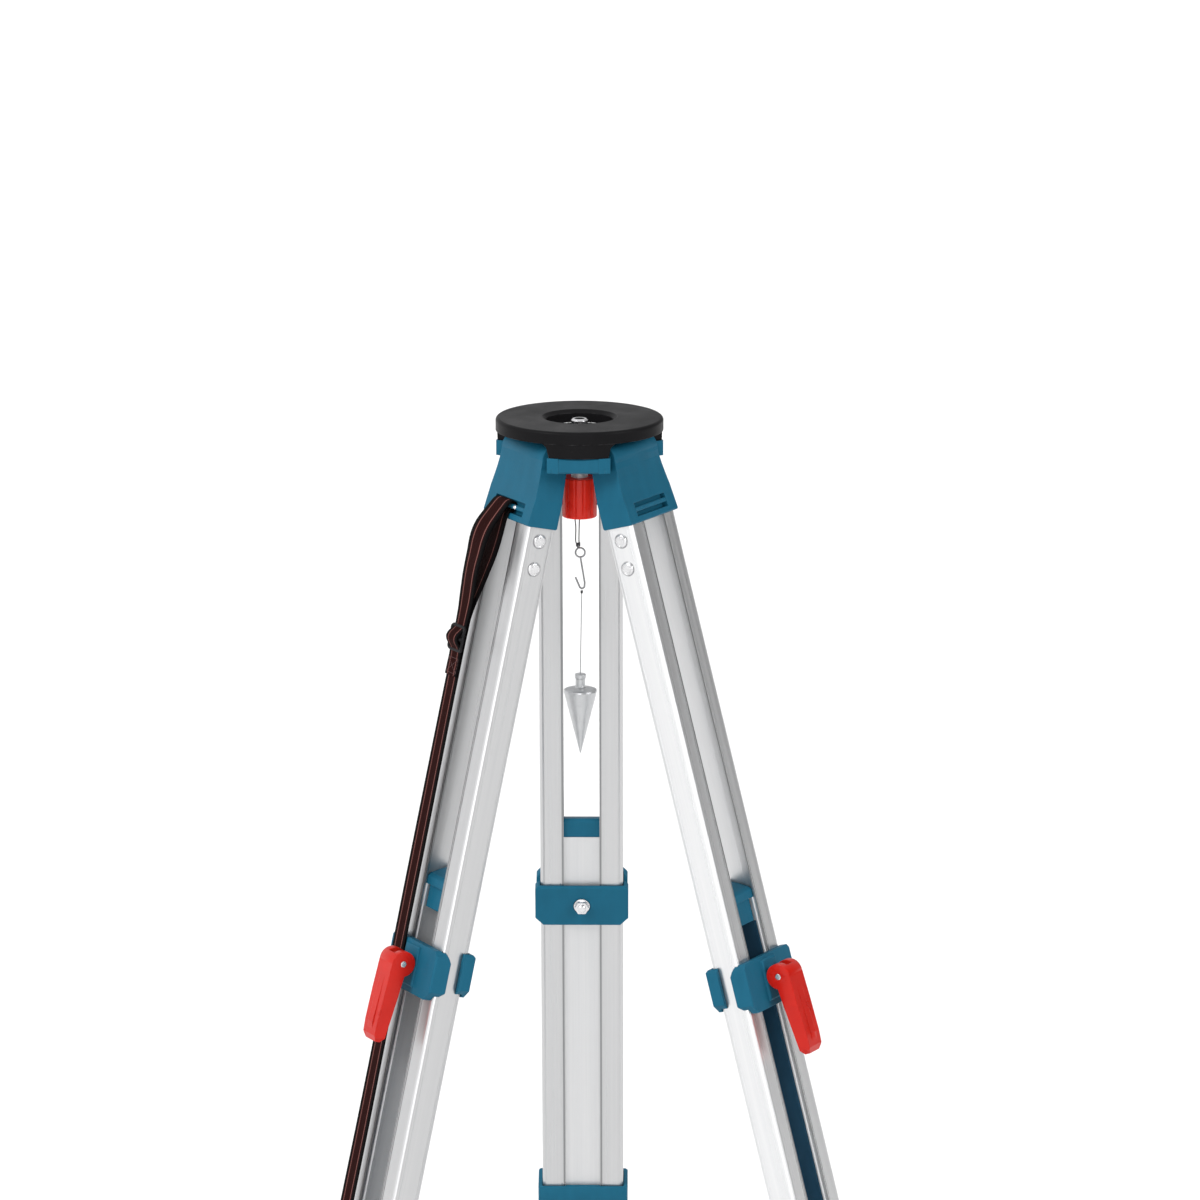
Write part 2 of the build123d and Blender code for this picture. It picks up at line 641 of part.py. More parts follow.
def lever_pin():
    half = LEVER_HALF + 0.6
    pin = rod_x(PIN_R, -half, half, LEVER_OUT, BOLT_DOWN)
    return chamfer(pin.edges().filter_by(GeomType.CIRCLE), 0.5)


def clamp_lever():
    """Lever hanging down from its round cam head."""
    pivot = (LEVER_OUT, BOLT_DOWN)
    lever = rod_x(LEVER_R, -LEVER_HALF, LEVER_HALF, *pivot)
    lever = lever + prism_x(shifted(LEVER_SIDE, *pivot), LEVER_HALF)
    # sides draw in a little towards the tip
    lever = lever & prism_out(shifted(LEVER_FRONT, 0, BOLT_DOWN), 0, 90)
    # slot for the bolt's eye, open towards the leg
    lever -= box(-5.4, 5.4, LEVER_OUT - 20, LEVER_OUT + 8.2, BOLT_DOWN - 20, BOLT_DOWN + 14)
    # hollow side towards the leg, raised spine on the outward face
    lever -= prism_x(shifted(LEVER_HOLLOW, *pivot), 9.4)
    lever += prism_x(shifted(LEVER_SPINE, *pivot), 4.5)
    lever -= rod_x(PIN_R + 0.06, -20, 20, *pivot)
    return lever


# ------------------------------------------------------------------- foot
# out, down from the inner leg's end
STEP_SIDE = [(15, -8), (44, -10), (46, -7), (45, -3), (26, 3), (15, 12)]
STEP_RIB = [(14, -25), (18, -25), (34, -8), (14, -6)]


def foot_casting():
    """Socket round the channel, tapered shank and step plate."""
    body = box(-23, 23, -16.5, 16.5, INNER_END - 26, INNER_END)
    body = chamfer(body.edges().filter_by(Axis.Z), 2.5)
    upper = Plane(origin=(0, HINGE_R, HINGE_Z - INNER_END), z_dir=(0, 0, -1))
    lower = Plane(origin=(0, HINGE_R, HINGE_Z - INNER_END - 30), z_dir=(0, 0, -1))
    body = body + loft([
        upper * RectangleRounded(46, 33, 2.5),
        lower * RectangleRounded(20, 19, 5.0),
    ])
    body += prism_x(shifted(STEP_SIDE, 0, INNER_END), 14)
    body += prism_x(shifted(STEP_RIB, 0, INNER_END), 2.5)
    gap = 0.15
    half, deep = INNER_HALF + gap, INNER_DEEP + gap
    body -= box(-half, half, -deep, deep, INNER_END - 27, INNER_END + gap)
    body -= rod_down(SPIKE_R + 0.02, INNER_END - 5, INNER_END + 40)
    return body


def foot_point():
    """Round spike with a ball-nosed cone."""
    shank = rod_down(SPIKE_R, INNER_END + 1.0, SPIKE_CONE_TOP)
    cone = leg_pos(0, 0, (SPIKE_CONE_TOP + TIP_DOWN) / 2) * Cone(
        FOOT_TIP_R, SPIKE_R, TIP_DOWN - SPIKE_CONE_TOP
    )
    return shank + cone + leg_pos(0, 0, TIP_DOWN) * Sphere(FOOT_TIP_R)


# ------------------------------------------------------------------- carry strap
# Stations of each length of band: down, x0, x1, out, thickness
STRAP_OUTER = [
    (57.0, -5.0, 26.0, 20.4, 4.4), (63.0, -4.5, 27.0, 25.4, 3.4),
    (74.0, -3.5, 28.5, 30.4, 2.6), (92.0, -1.0, 31.0, 33.0, 2.2),
    (116.0, 3.5, 34.0, 32.4, 2.2), (140.0, 9.0, 36.5, 29.0, 2.2),
    (160.0, 13.0, 38.0, 25.6, 2.2), (174.0, STRAP_X0, STRAP_X1, 24.4, 2.2),
]
STRAP_INNER = [
    (57.0, -6.5, 24.5, 19.4, 2.4), (80.0, -5.0, 26.5, 19.3, 1.9),
    (105.0, -1.0, 30.0, 19.8, 1.9), (130.0, 5.5, 34.0, 21.2, 1.9),
    (155.0, 12.0, 37.5, 23.4, 2.0), (174.0, STRAP_X0, STRAP_X1, 24.4, 2.2),
]
STRAP_RUN = [
    (173.5, STRAP_X0, STRAP_X1, 24.4, 2.2), (186.0, STRAP_X0, STRAP_X1, 24.25, 1.8),
    (834.0, STRAP_X0, STRAP_X1, 24.25, 1.8),
    (846.0, STRAP_X0 + 0.2, STRAP_X1 - 0.2, 19.4, 1.6),
    (864.0, STRAP_X0 + 0.2, STRAP_X1 - 0.2, 19.4, 1.6),
]


def band(stations):
    """Rectangles across the leg, joined in turn."""
    sections = []
    for down, x0, x1, out, thickness in stations:
        centre = ((x0 + x1) / 2, HINGE_R + out, HINGE_Z - down)
        plane = Plane(origin=centre, x_dir=(1, 0, 0), z_dir=(0, 0, -1))
        sections.append(plane * Rectangle(x1 - x0, thickness))
    return loft(sections, ruled=True)


def carry_strap():
    """Two layers from the casting's bar to the slide, then one under the bridge."""
    return band(STRAP_OUTER) + band(STRAP_INNER) + band(STRAP_RUN)


def strap_slide():
    """Sleeve round the strap, with two slots in its outward face."""
    slide = box(STRAP_X0 - 1.6, STRAP_X1 + 2.6, 23.4, 33.0, SLIDE_TOP, SLIDE_END)
    slide = chamfer(slide.edges().group_by(Axis.Y)[-1], 2.5)
    slide -= box(STRAP_X0 - 0.2, STRAP_X1 + 0.4, 20.0, 28.0, SLIDE_TOP - 6, SLIDE_END + 6)
    for top in (SLIDE_TOP + 5, SLIDE_TOP + 20):
        slide -= box(STRAP_X0 + 2.0, STRAP_X1 - 1.5, 26, 36, top, top + 5)
    return slide


# ------------------------------------------------------------------- build
# Each piece is named after its function.
HEAD_PARTS = (
    head_plate, hinge_bearing_caps, cap_screws, hinge_axles, centring_arm,
    arm_pivot_screw, screw_bush, centre_screw, screw_knob,
    plumb_hook, plumb_cord_loop, plumb_line, plumb_bob,
)
UPPER_LEG_PARTS = (leg_casting, rails, rail_rivets, rail_end_shoe)
DRAWN_OUT_PARTS = (
    inner_leg, inner_leg_cap, inner_leg_liner, clamp_bracket, clamp_band, clamp_bolt,
    clamp_nut, lever_pin, clamp_lever, foot_casting, foot_point,
)

for part in HEAD_PARTS:
    save(part(), part.__name__)
for leg in AZIMUTH:
    for part in UPPER_LEG_PARTS:
        save(swing(part(), leg), f"{part.__name__}_{leg}")
    for part in DRAWN_OUT_PARTS:
        save(swing(part(), leg, TIP_AT[leg] - TIP_DOWN), f"{part.__name__}_{leg}")
for part in (carry_strap, strap_slide):
    save(swing(part(), "left"), part.__name__)
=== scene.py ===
"""A tripod with three telescopic legs, a plumb bob and a carry strap.

Metres, +z up. The centre screw's axis is z, the head plate is at the top and
the feet stand on the floor. The camera looks from the -y side, from a little
above the head. The strap hangs on the left leg.
"""
import bmesh
import bpy
import json
from math import copysign, cos, hypot, pi, radians, sin
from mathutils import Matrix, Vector


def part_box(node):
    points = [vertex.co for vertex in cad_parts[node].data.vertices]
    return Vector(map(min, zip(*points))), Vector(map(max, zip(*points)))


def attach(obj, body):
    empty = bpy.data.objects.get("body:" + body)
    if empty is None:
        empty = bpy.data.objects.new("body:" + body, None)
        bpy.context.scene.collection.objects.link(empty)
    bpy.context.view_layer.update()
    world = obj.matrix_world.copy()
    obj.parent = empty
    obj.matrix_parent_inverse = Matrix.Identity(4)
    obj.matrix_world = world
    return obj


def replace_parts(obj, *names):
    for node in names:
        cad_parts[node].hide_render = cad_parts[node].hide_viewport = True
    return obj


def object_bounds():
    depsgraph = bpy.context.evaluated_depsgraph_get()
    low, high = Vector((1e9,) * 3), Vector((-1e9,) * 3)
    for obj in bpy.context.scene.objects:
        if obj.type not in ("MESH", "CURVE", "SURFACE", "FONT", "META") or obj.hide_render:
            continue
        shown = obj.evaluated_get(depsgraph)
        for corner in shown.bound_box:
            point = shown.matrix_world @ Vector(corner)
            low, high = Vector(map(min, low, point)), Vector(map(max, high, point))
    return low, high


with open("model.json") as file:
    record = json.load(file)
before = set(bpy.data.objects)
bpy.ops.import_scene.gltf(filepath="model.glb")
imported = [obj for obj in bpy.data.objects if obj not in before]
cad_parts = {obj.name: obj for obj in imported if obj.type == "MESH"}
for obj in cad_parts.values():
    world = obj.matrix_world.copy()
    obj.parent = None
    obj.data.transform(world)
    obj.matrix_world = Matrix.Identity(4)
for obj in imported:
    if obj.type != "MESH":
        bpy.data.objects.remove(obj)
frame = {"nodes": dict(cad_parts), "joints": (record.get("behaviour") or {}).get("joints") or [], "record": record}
cad_box = [list(c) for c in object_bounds()]
NODES = frame["nodes"]
MM = 0.001
SIDES = ("rear", "left", "right")

# ---------------------------------------------------------------- leg frames
# Each leg's joints give its own directions: across (along the hinge axle),
# out (away from the tripod's axis) and down (along the leg).
JOINTS = {joint["name"]: joint for joint in frame["joints"]}


def leg_axes(side):
    """The hinge point and the across, out and down directions of a leg."""
    spread = JOINTS["leg_spread_" + side]
    hinge = Vector(spread["pos_m"])
    across_dir = Vector(spread["axis"]).normalized()
    down_dir = Vector(JOINTS["leg_slide_" + side]["axis"]).normalized()
    out_dir = down_dir.cross(across_dir)
    if out_dir.dot(Vector((hinge.x, hinge.y, 0))) < 0:
        out_dir = -out_dir
    return hinge, across_dir, out_dir, down_dir


AXES = {side: leg_axes(side) for side in SIDES}


def left_leg(across, out, down):
    """A point in the left leg's frame, given in millimetres."""
    hinge, across_dir, out_dir, down_dir = AXES["left"]
    return hinge + (across_dir * across + out_dir * out + down_dir * down) * MM


# ---------------------------------------------------------------- shader kit
class Shader:
    """One material's node tree; most methods add a node and return its output."""

    def __init__(self, name):
        self.material = bpy.data.materials.new(name)
        self.material.use_nodes = True
        self.tree = self.material.node_tree
        self.tree.nodes.clear()
        output = self.node("OutputMaterial")
        self.principled = self.node("BsdfPrincipled")
        self.put(output.inputs[0], self.principled.outputs[0])
        self.coords = self.node("TexCoord").outputs
        self.place = self.coords["Object"]

    def node(self, kind, **settings):
        node = self.tree.nodes.new("ShaderNode" + kind)
        for key, value in settings.items():
            setattr(node, key, value)
        return node

    def put(self, socket, value):
        if isinstance(value, bpy.types.NodeSocket):
            self.tree.links.new(value, socket)
        else:
            socket.default_value = value

    def math(self, operation, first, second=0.0):
        node = self.node("Math", operation=operation)
        self.put(node.inputs[0], first)
        self.put(node.inputs[1], second)
        node.inputs[2].default_value = 0.0
        return node.outputs[0]

    def add(self, first, second):
        return self.math("ADD", first, second)

    def sub(self, first, second):
        return self.math("SUBTRACT", first, second)

    def mul(self, value, by):
        return self.math("MULTIPLY", value, by)

    def most(self, first, second):
        return self.math("MAXIMUM", first, second)

    def size(self, value):
        return self.math("ABSOLUTE", value)

    def square(self, value):
        return self.math("POWER", value, 2.0)

    def dot(self, first, second):
        node = self.node("VectorMath", operation="DOT_PRODUCT")
        self.put(node.inputs[0], first)
        self.put(node.inputs[1], second)
        return node.outputs["Value"]

    def vec(self, x, y, z):
        node = self.node("CombineXYZ")
        for socket, value in zip(node.inputs, (x, y, z)):
            self.put(socket, value)
        return node.outputs[0]

    def scaled_z(self, by):
        """The object coordinates with z scaled: below 1 draws the pattern out."""
        node = self.node("Mapping")
        self.put(node.inputs["Vector"], self.place)
        node.inputs["Scale"].default_value = (1, 1, by)
        return node.outputs[0]

    def noise(self, scale, detail=3, rough=0.6, at=None):
        node = self.node("TexNoise")
        self.put(node.inputs["Vector"], self.place if at is None else at)
        node.inputs["Scale"].default_value = scale
        node.inputs["Detail"].default_value = detail
        node.inputs["Roughness"].default_value = rough
        return node.outputs[0]

    def specks(self, start, end, **noise):
        """Noise cut to scattered marks: black below start, white above end."""
        node = self.node("ValToRGB")
        self.put(node.inputs[0], self.noise(**noise))
        black, white = node.color_ramp.elements
        black.position = start
        black.color = (0, 0, 0, 1)
        white.position = end
        white.color = (1, 1, 1, 1)
        return node.outputs[0]

    def remap(self, value, start=0.3, end=0.7, low=0.0, high=1.0):
        """Maps start..end, by default the middle of a noise, to low..high."""
        node = self.node("MapRange")
        self.put(node.inputs[0], value)
        for i, limit in enumerate((start, end, low, high)):
            node.inputs[1 + i].default_value = limit
        return node.outputs[0]

    def mix(self, base, over, mask, strength=None, blend="MIX"):
        """Lays one colour over another by a mask, weakened by strength."""
        if strength is not None:
            mask = self.mul(mask, strength)
        node = self.node("Mix", data_type="RGBA", blend_type=blend)
        self.put(node.inputs["Factor"], mask)
        for socket, color in ((node.inputs[6], base), (node.inputs[7], over)):
            self.put(socket, (*color, 1) if isinstance(color, tuple) else color)
        return node.outputs[2]

    def edges(self, radius):
        """A mask, white along edges and folds, and the rounded normal."""
        bevel = self.node("Bevel", samples=4)
        bevel.inputs["Radius"].default_value = radius
        geometry = self.node("NewGeometry")
        facing = self.dot(bevel.outputs[0], geometry.outputs["Normal"])
        mask = self.remap(self.sub(1.0, facing), start=0.02, end=0.25)
        return mask, bevel.outputs[0]

    def bump(self, height, strength, distance, normal=None):
        node = self.node("Bump")
        node.inputs["Strength"].default_value = strength
        node.inputs["Distance"].default_value = distance
        self.put(node.inputs["Height"], height)
        if normal is not None:
            self.put(node.inputs["Normal"], normal)
        return node.outputs[0]

    def finish(self, **inputs):
        """Fills the Principled inputs: base_color is "Base Color", and so on."""
        for key, value in inputs.items():
            socket_name = key.replace("_", " ").title().replace("Ior", "IOR")
            self.put(self.principled.inputs[socket_name], value)
        return self.material


def scaled(color, by):
    return tuple(channel * by for channel in color)


# ----------------------------------------------------------------- materials
def head_black():
    """Black coating, scuffed, and rubbed grey along its edges."""
    mat = Shader("head_black_coating")
    edges, rounded = mat.edges(radius=0.0012)
    grain = mat.noise(scale=1500)
    patches = mat.noise(scale=22, detail=4)
    scuffs = mat.specks(start=0.60, end=0.74, at=mat.scaled_z(by=6),
                        scale=160, detail=5, rough=0.75)
    color = mat.mix(base=(0.0062, 0.0060, 0.0066), over=(0.0100, 0.0097, 0.0104), mask=patches)
    color = mat.mix(color, over=(0.045, 0.045, 0.047), mask=scuffs, strength=0.22)
    broken = mat.remap(mat.noise(scale=90, detail=4, rough=0.7), start=0.42, end=0.68, high=0.55)
    color = mat.mix(color, over=(0.16, 0.16, 0.165), mask=mat.mul(edges, broken))
    rough = mat.add(mat.remap(patches, low=0.34, high=0.46), mat.mul(scuffs, by=0.12))
    return mat.finish(base_color=color, roughness=rough, specular_ior_level=0.045,
                      normal=mat.bump(grain, strength=0.25, distance=0.00025, normal=rounded))


def moulding(name, light, dark, edge_wear_and_rim_light, radius=0.0010):
    """Moulded plastic with a fine grain and paler worn edges."""
    mat = Shader(name)
    edges, rounded = mat.edges(radius)
    grain = mat.noise(scale=2300, detail=2)
    patches = mat.noise(scale=14, rough=0.55)
    flow = mat.noise(at=mat.scaled_z(by=0.25), scale=95, detail=4)
    color = mat.mix(dark, light, mask=mat.remap(patches))
    color = mat.mix(color, over=scaled(light, by=1.5),
                    mask=mat.remap(flow, start=0.35), strength=0.16)
    broken = mat.remap(mat.noise(scale=130, detail=4, rough=0.7),
                       start=0.38, end=0.66, low=0.12, high=0.6)
    color = mat.mix(color, edge_wear_and_rim_light, mask=mat.mul(edges, broken))
    dust = mat.specks(start=0.63, end=0.75, scale=420, detail=5, rough=0.8)
    color = mat.mix(color, over=(0.25, 0.34, 0.40), mask=dust, strength=0.06)
    rough = mat.add(mat.remap(patches, low=0.42, high=0.52), mat.mul(grain, by=0.08))
    return mat.finish(base_color=color, roughness=rough, specular_ior_level=0.13,
                      normal=mat.bump(grain, strength=0.28, distance=0.0002, normal=rounded))


# Places on a leg's aluminium parts, in metres in the leg's frame.
RIVETS_DOWN = (0.079, 0.106)
RIVET_OUT = -0.0005
RIVET_SHADE_RADIUS = 0.0066
SEAM_ACROSS = 0.0188


def aluminium(name, side, lit_tone, metallic, rough_low, rough_high, with_lip_highlight=False):
    """Satin anodised: fine lines and faint bands run down the leg."""
    mat = Shader(f"{name}_aluminium_{side}")
    hinge, *leg_dirs = AXES[side]
    across, out, down = (mat.sub(mat.dot(mat.place, axis), hinge.dot(axis)) for axis in leg_dirs)

    def drawn(by):
        """Leg coordinates scaled down the leg, to draw the pattern out."""
        return mat.vec(across, out, mat.mul(down, by))

    # painted light: every colour below is scaled by this leg's brightness
    def tint(*factors):
        return tuple(lit_tone * factor for factor in factors)

    streaks = drawn(by=0.004)
    lines = mat.noise(at=streaks, scale=2600, rough=0.65)
    bands = mat.noise(at=streaks, scale=300, rough=0.55)
    waves = mat.noise(at=streaks, scale=85, detail=2, rough=0.5)
    mottle = mat.noise(at=drawn(by=0.3), scale=26)
    nicks = mat.specks(start=0.68, end=0.78, at=drawn(by=0.09), scale=420, detail=4, rough=0.8)
    color = mat.mix(base=tint(0.93, 0.935, 0.945), over=tint(1, 1, 1.003), mask=mat.remap(bands))
    color = mat.mix(color, over=tint(0.80, 0.81, 0.82), mask=mat.remap(lines, high=0.28))
    color = mat.mix(color, over=tint(0.82, 0.84, 0.86), mask=mottle, strength=0.10)
    color = mat.mix(color, over=tint(0.62, 0.63, 0.65), mask=nicks, strength=0.25)

    # painted shade: darkens the join where the sliding leg meets the rail
    off_middle = mat.size(across)
    seam_shade = mat.remap(mat.size(mat.sub(off_middle, SEAM_ACROSS)),
                     start=0.0004, end=0.0014, low=1.0, high=0.0)
    if with_lip_highlight:
        # painted highlight: a bright, less metallic line along the channel's rims
        lip_highlight = mat.mul(mat.remap(out, start=0.0120, end=0.0124),
                      mat.remap(off_middle, start=0.0158, end=0.0162))
        color = mat.mix(color, over=(0.95, 0.95, 0.96), mask=lip_highlight)
        metallic = mat.remap(lip_highlight, start=0.0, end=1.0, low=metallic, high=0.25)
        seam_shade = mat.mul(seam_shade, mat.remap(mat.size(out), start=0.0122, end=0.0127))
        seam_shade = mat.mul(seam_shade, mat.sub(1.0, lip_highlight))
    color = mat.mix(color, over=(0.11, 0.115, 0.12), mask=seam_shade, strength=0.72)

    # painted shade: dark rings round the rivets at the rails' upper end, broken up by blotches
    out_squared = mat.square(mat.add(out, -RIVET_OUT))
    rings = []
    for rivet_down in RIVETS_DOWN:
        down_squared = mat.square(mat.sub(down, rivet_down))
        radius = mat.math("SQRT", mat.add(out_squared, down_squared))
        rings.append(mat.remap(mat.size(mat.sub(radius, RIVET_SHADE_RADIUS)),
                               start=0.0002, end=0.0010, low=1.0, high=0.0))
    blotches = mat.noise(at=mat.vec(across, out, down), scale=140, detail=2, rough=0.5)
    rivet_shade = mat.mul(mat.most(*rings),
                   mat.remap(blotches, start=0.35, end=0.6, low=0.25, high=0.85))
    rivet_shade = mat.mul(rivet_shade, mat.remap(off_middle, start=0.0395, end=0.0405))
    color = mat.mix(color, over=(0.20, 0.20, 0.21), mask=rivet_shade)

    rough = mat.add(mat.remap(bands, low=rough_low, high=rough_high), mat.mul(lines, by=0.10))
    tangent = mat.node("VectorTransform", vector_type="VECTOR",
                       convert_from="OBJECT", convert_to="WORLD")
    mat.put(tangent.inputs[0], mat.vec(*leg_dirs[2]))
    height = mat.add(mat.mul(lines, by=0.25), mat.mul(waves, by=8.0))
    return mat.finish(base_color=color, metallic=metallic, roughness=rough, anisotropic=0.45,
                      tangent=tangent.outputs[0],
                      normal=mat.bump(height, strength=0.35, distance=0.0001))


def steel(name, base, rough_low, rough_high, edge_wear_and_rim_light, radius=0.0004):
    mat = Shader(name)
    edges, rounded = mat.edges(radius)
    grain = mat.noise(scale=1800)
    patches = mat.noise(scale=120, detail=4, rough=0.65)
    color = mat.mix(scaled(base, by=0.84), base, mask=mat.remap(patches))
    color = mat.mix(color, edge_wear_and_rim_light, mask=edges, strength=0.5)
    blend = mat.add(mat.mul(patches, by=0.6), mat.mul(grain, by=0.4))
    return mat.finish(base_color=color, metallic=1.0,
                      roughness=mat.remap(blend, low=rough_low, high=rough_high),
                      normal=mat.bump(grain, strength=0.15, distance=0.0001, normal=rounded))


def screw_steel():
    """Bright zinc with turning rings; the centre of the free end is painted dark, a painted shade
    standing in for its turned recess, and the shank under the arm is a paler, duller plating."""
    mat = Shader("screw_steel_zinc")
    edges, rounded = mat.edges(radius=0.0004)
    x, y, z = (mat.dot(mat.place, axis) for axis in ((1, 0, 0), (0, 1, 0), (0, 0, 1)))
    radius = mat.math("SQRT", mat.add(mat.square(x), mat.square(y)))
    rings = mat.noise(at=mat.vec(mat.mul(radius, by=1.0), 0.0, z), scale=3600, detail=2, rough=0.7)
    patches = mat.noise(scale=120, detail=4, rough=0.65)
    shank = mat.remap(z, start=-0.022, end=-0.026)
    color = mat.mix(base=(0.66, 0.66, 0.67), over=(0.78, 0.78, 0.79), mask=mat.remap(patches))
    color = mat.mix(color, over=(0.80, 0.80, 0.79), mask=shank)
    color = mat.mix(color, over=(0.50, 0.50, 0.51),
                    mask=mat.remap(rings, start=0.35, end=0.65), strength=0.18)
    # painted shade: a dark, dull disc in the middle of the free end
    hollow_shade = mat.mul(mat.remap(radius, start=0.0048, end=0.0054, low=1.0, high=0.0),
                     mat.remap(z, start=-0.020, end=-0.018))
    color = mat.mix(color, over=(0.035, 0.035, 0.037), mask=hollow_shade)
    edge_wear_and_rim_light = mat.mul(mat.mul(edges, by=0.5), mat.sub(1.0, hollow_shade))
    color = mat.mix(color, over=(0.92, 0.92, 0.92), mask=edge_wear_and_rim_light)
    dull = mat.most(mat.mul(shank, by=0.72), mat.mul(hollow_shade, by=0.4))
    rough = mat.add(mat.remap(patches, low=0.22, high=0.34),
                    mat.mul(mat.most(shank, hollow_shade), by=0.22))
    return mat.finish(base_color=color, metallic=mat.sub(1.0, dull), roughness=rough,
                      normal=mat.bump(rings, strength=0.2, distance=0.0001, normal=rounded))


def bob_plating():
    """Lathe-turned: fine rings round a vertical axis."""
    mat = Shader("bob_turned_plated")
    base = (0.60, 0.61, 0.62)
    edges, rounded = mat.edges(radius=0.0005)
    height = mat.dot(mat.place, (0, 0, 1))
    rings = mat.noise(at=mat.vec(0.0, 0.0, height), scale=5200, detail=2, rough=0.7)
    patches = mat.noise(scale=140, detail=4, rough=0.65)
    color = mat.mix(scaled(base, by=0.80), base, mask=mat.remap(rings))
    color = mat.mix(color, over=scaled(base, by=0.62),
                    mask=mat.remap(patches, start=0.45, end=0.75), strength=0.35)
    color = mat.mix(color, over=(0.8, 0.8, 0.8), mask=edges, strength=0.4)
    return mat.finish(base_color=color, metallic=0.85,
                      roughness=mat.remap(rings, low=0.26, high=0.42),
                      normal=mat.bump(rings, strength=0.3, distance=0.0001, normal=rounded))


def red_plastic(name, deep, light, edge_wear_and_rim_light, specular, coat):
    """Glossy moulded red with a faint orange-peel skin."""
    mat = Shader(name)
    edges, rounded = mat.edges(radius=0.0009)
    peel = mat.noise(scale=420, detail=2, rough=0.5)
    grain = mat.noise(scale=2400, detail=2, rough=0.5)
    patches = mat.noise(scale=30)
    color = mat.mix(deep, light, mask=mat.remap(patches))
    # paler orange along the edges: a painted rim highlight
    color = mat.mix(color, edge_wear_and_rim_light, mask=edges, strength=0.30)
    scratches = mat.specks(start=0.66, end=0.76, at=mat.scaled_z(by=0.12),
                           scale=700, detail=5, rough=0.8)
    color = mat.mix(color, over=(0.85, 0.18, 0.14), mask=scratches, strength=0.08)
    rough = mat.add(mat.remap(patches, low=0.26, high=0.34), mat.mul(scratches, by=0.2))
    height = mat.add(mat.mul(peel, by=0.8), mat.mul(grain, by=0.2))
    return mat.finish(base_color=color, roughness=rough, specular_ior_level=specular,
                      coat_weight=coat, coat_roughness=0.16, subsurface_weight=0.03,
                      subsurface_scale=0.002, subsurface_radius=(1.0, 0.08, 0.04),
                      normal=mat.bump(height, strength=0.10, distance=0.0003, normal=rounded))


WEAVE_WIDTH = 26.0       # mm, the width the weave is drawn for
WARP_PITCH = 0.0013      # m, across the strap
WEFT_PITCH = 0.0022      # m, along it


def webbing():
    """Woven webbing: black borders, a dark maroon field and two thin pale
    stripes. The UVs are 0..1 across the strap and metres along it."""
    mat = Shader("strap_webbing_weave")
    separate = mat.node("SeparateXYZ")
    mat.put(separate.inputs[0], mat.coords["UV"])
    across, along = separate.outputs[0], separate.outputs[1]
    across_m = mat.mul(across, by=WEAVE_WIDTH * MM)
    warp = mat.math("SINE", mat.mul(across_m, by=2 * pi / WARP_PITCH))
    twill = mat.math("SINE", mat.add(mat.mul(along, by=2 * pi / WEFT_PITCH),
                                     mat.mul(across_m, by=2 * pi / (2 * WARP_PITCH))))
    weave = mat.add(mat.mul(mat.size(warp), by=0.5), mat.mul(twill, by=0.5))
    fuzz = mat.noise(at=mat.vec(mat.mul(across, by=WEAVE_WIDTH), mat.mul(along, by=1000.0), 0.0),
                     scale=1.6, detail=4, rough=0.7)

    def stripe(centre, inner, outer):
        """White within inner of the centre, fading to black at outer."""
        distance = mat.size(mat.sub(across, centre))
        return mat.sub(1.0, mat.remap(distance, start=inner, end=outer))

    def stripe_pair(half_width):
        return mat.most(*(stripe(centre, half_width * 0.55, half_width)
                          for centre in (0.25, 0.75)))

    stripes = stripe_pair(half_width=0.026)
    field = stripe(centre=0.5, inner=0.20, outer=0.26)
    halo = stripe_pair(half_width=0.11)
    color = mat.mix(base=(0.0026, 0.0021, 0.0024), over=(0.0190, 0.0024, 0.0018), mask=field)
    color = mat.mix(color, over=(0.030, 0.0045, 0.0040), mask=halo, strength=0.6)
    color = mat.mix(color, over=(0.260, 0.105, 0.092), mask=stripes, strength=0.90)
    shade = mat.remap(weave, start=-0.5, end=0.9, low=0.45, high=1.15)
    color = mat.mix(color, over=mat.vec(shade, shade, shade), mask=1.0, blend="MULTIPLY")
    color = mat.mix(color, over=(0.07, 0.045, 0.045),
                    mask=mat.remap(fuzz, start=0.55, end=0.8), strength=0.08)
    height = mat.add(weave, mat.mul(fuzz, by=0.5))
    return mat.finish(base_color=color, roughness=mat.remap(fuzz, low=0.66, high=0.84),
                      specular_ior_level=0.045, sheen_weight=0.003, sheen_roughness=0.5,
                      normal=mat.bump(height, strength=0.55, distance=0.0004))


def thread(name, dark, light):
    mat = Shader(name)
    twist = mat.noise(scale=2500, rough=0.7)
    soil = mat.noise(scale=60)
    color = mat.mix(dark, light, mask=mat.remap(twist))
    color = mat.mix(color, over=scaled(dark, by=0.5), mask=soil, strength=0.3)
    return mat.finish(base_color=color, roughness=0.75, specular_ior_level=0.3, sheen_weight=0.15,
                      normal=mat.bump(twist, strength=0.4, distance=0.0002))


def floor_white():
    mat = Shader("studio_floor")
    patches = mat.noise(scale=3.0, rough=0.5)
    color = mat.mix(base=(0.900, 0.898, 0.892), over=(0.915, 0.913, 0.908),
                    mask=mat.remap(patches))
    grain = mat.noise(scale=900, detail=2, rough=0.5)
    return mat.finish(base_color=color, roughness=0.9, specular_ior_level=0.1,
                      normal=mat.bump(grain, strength=0.03, distance=0.0002))


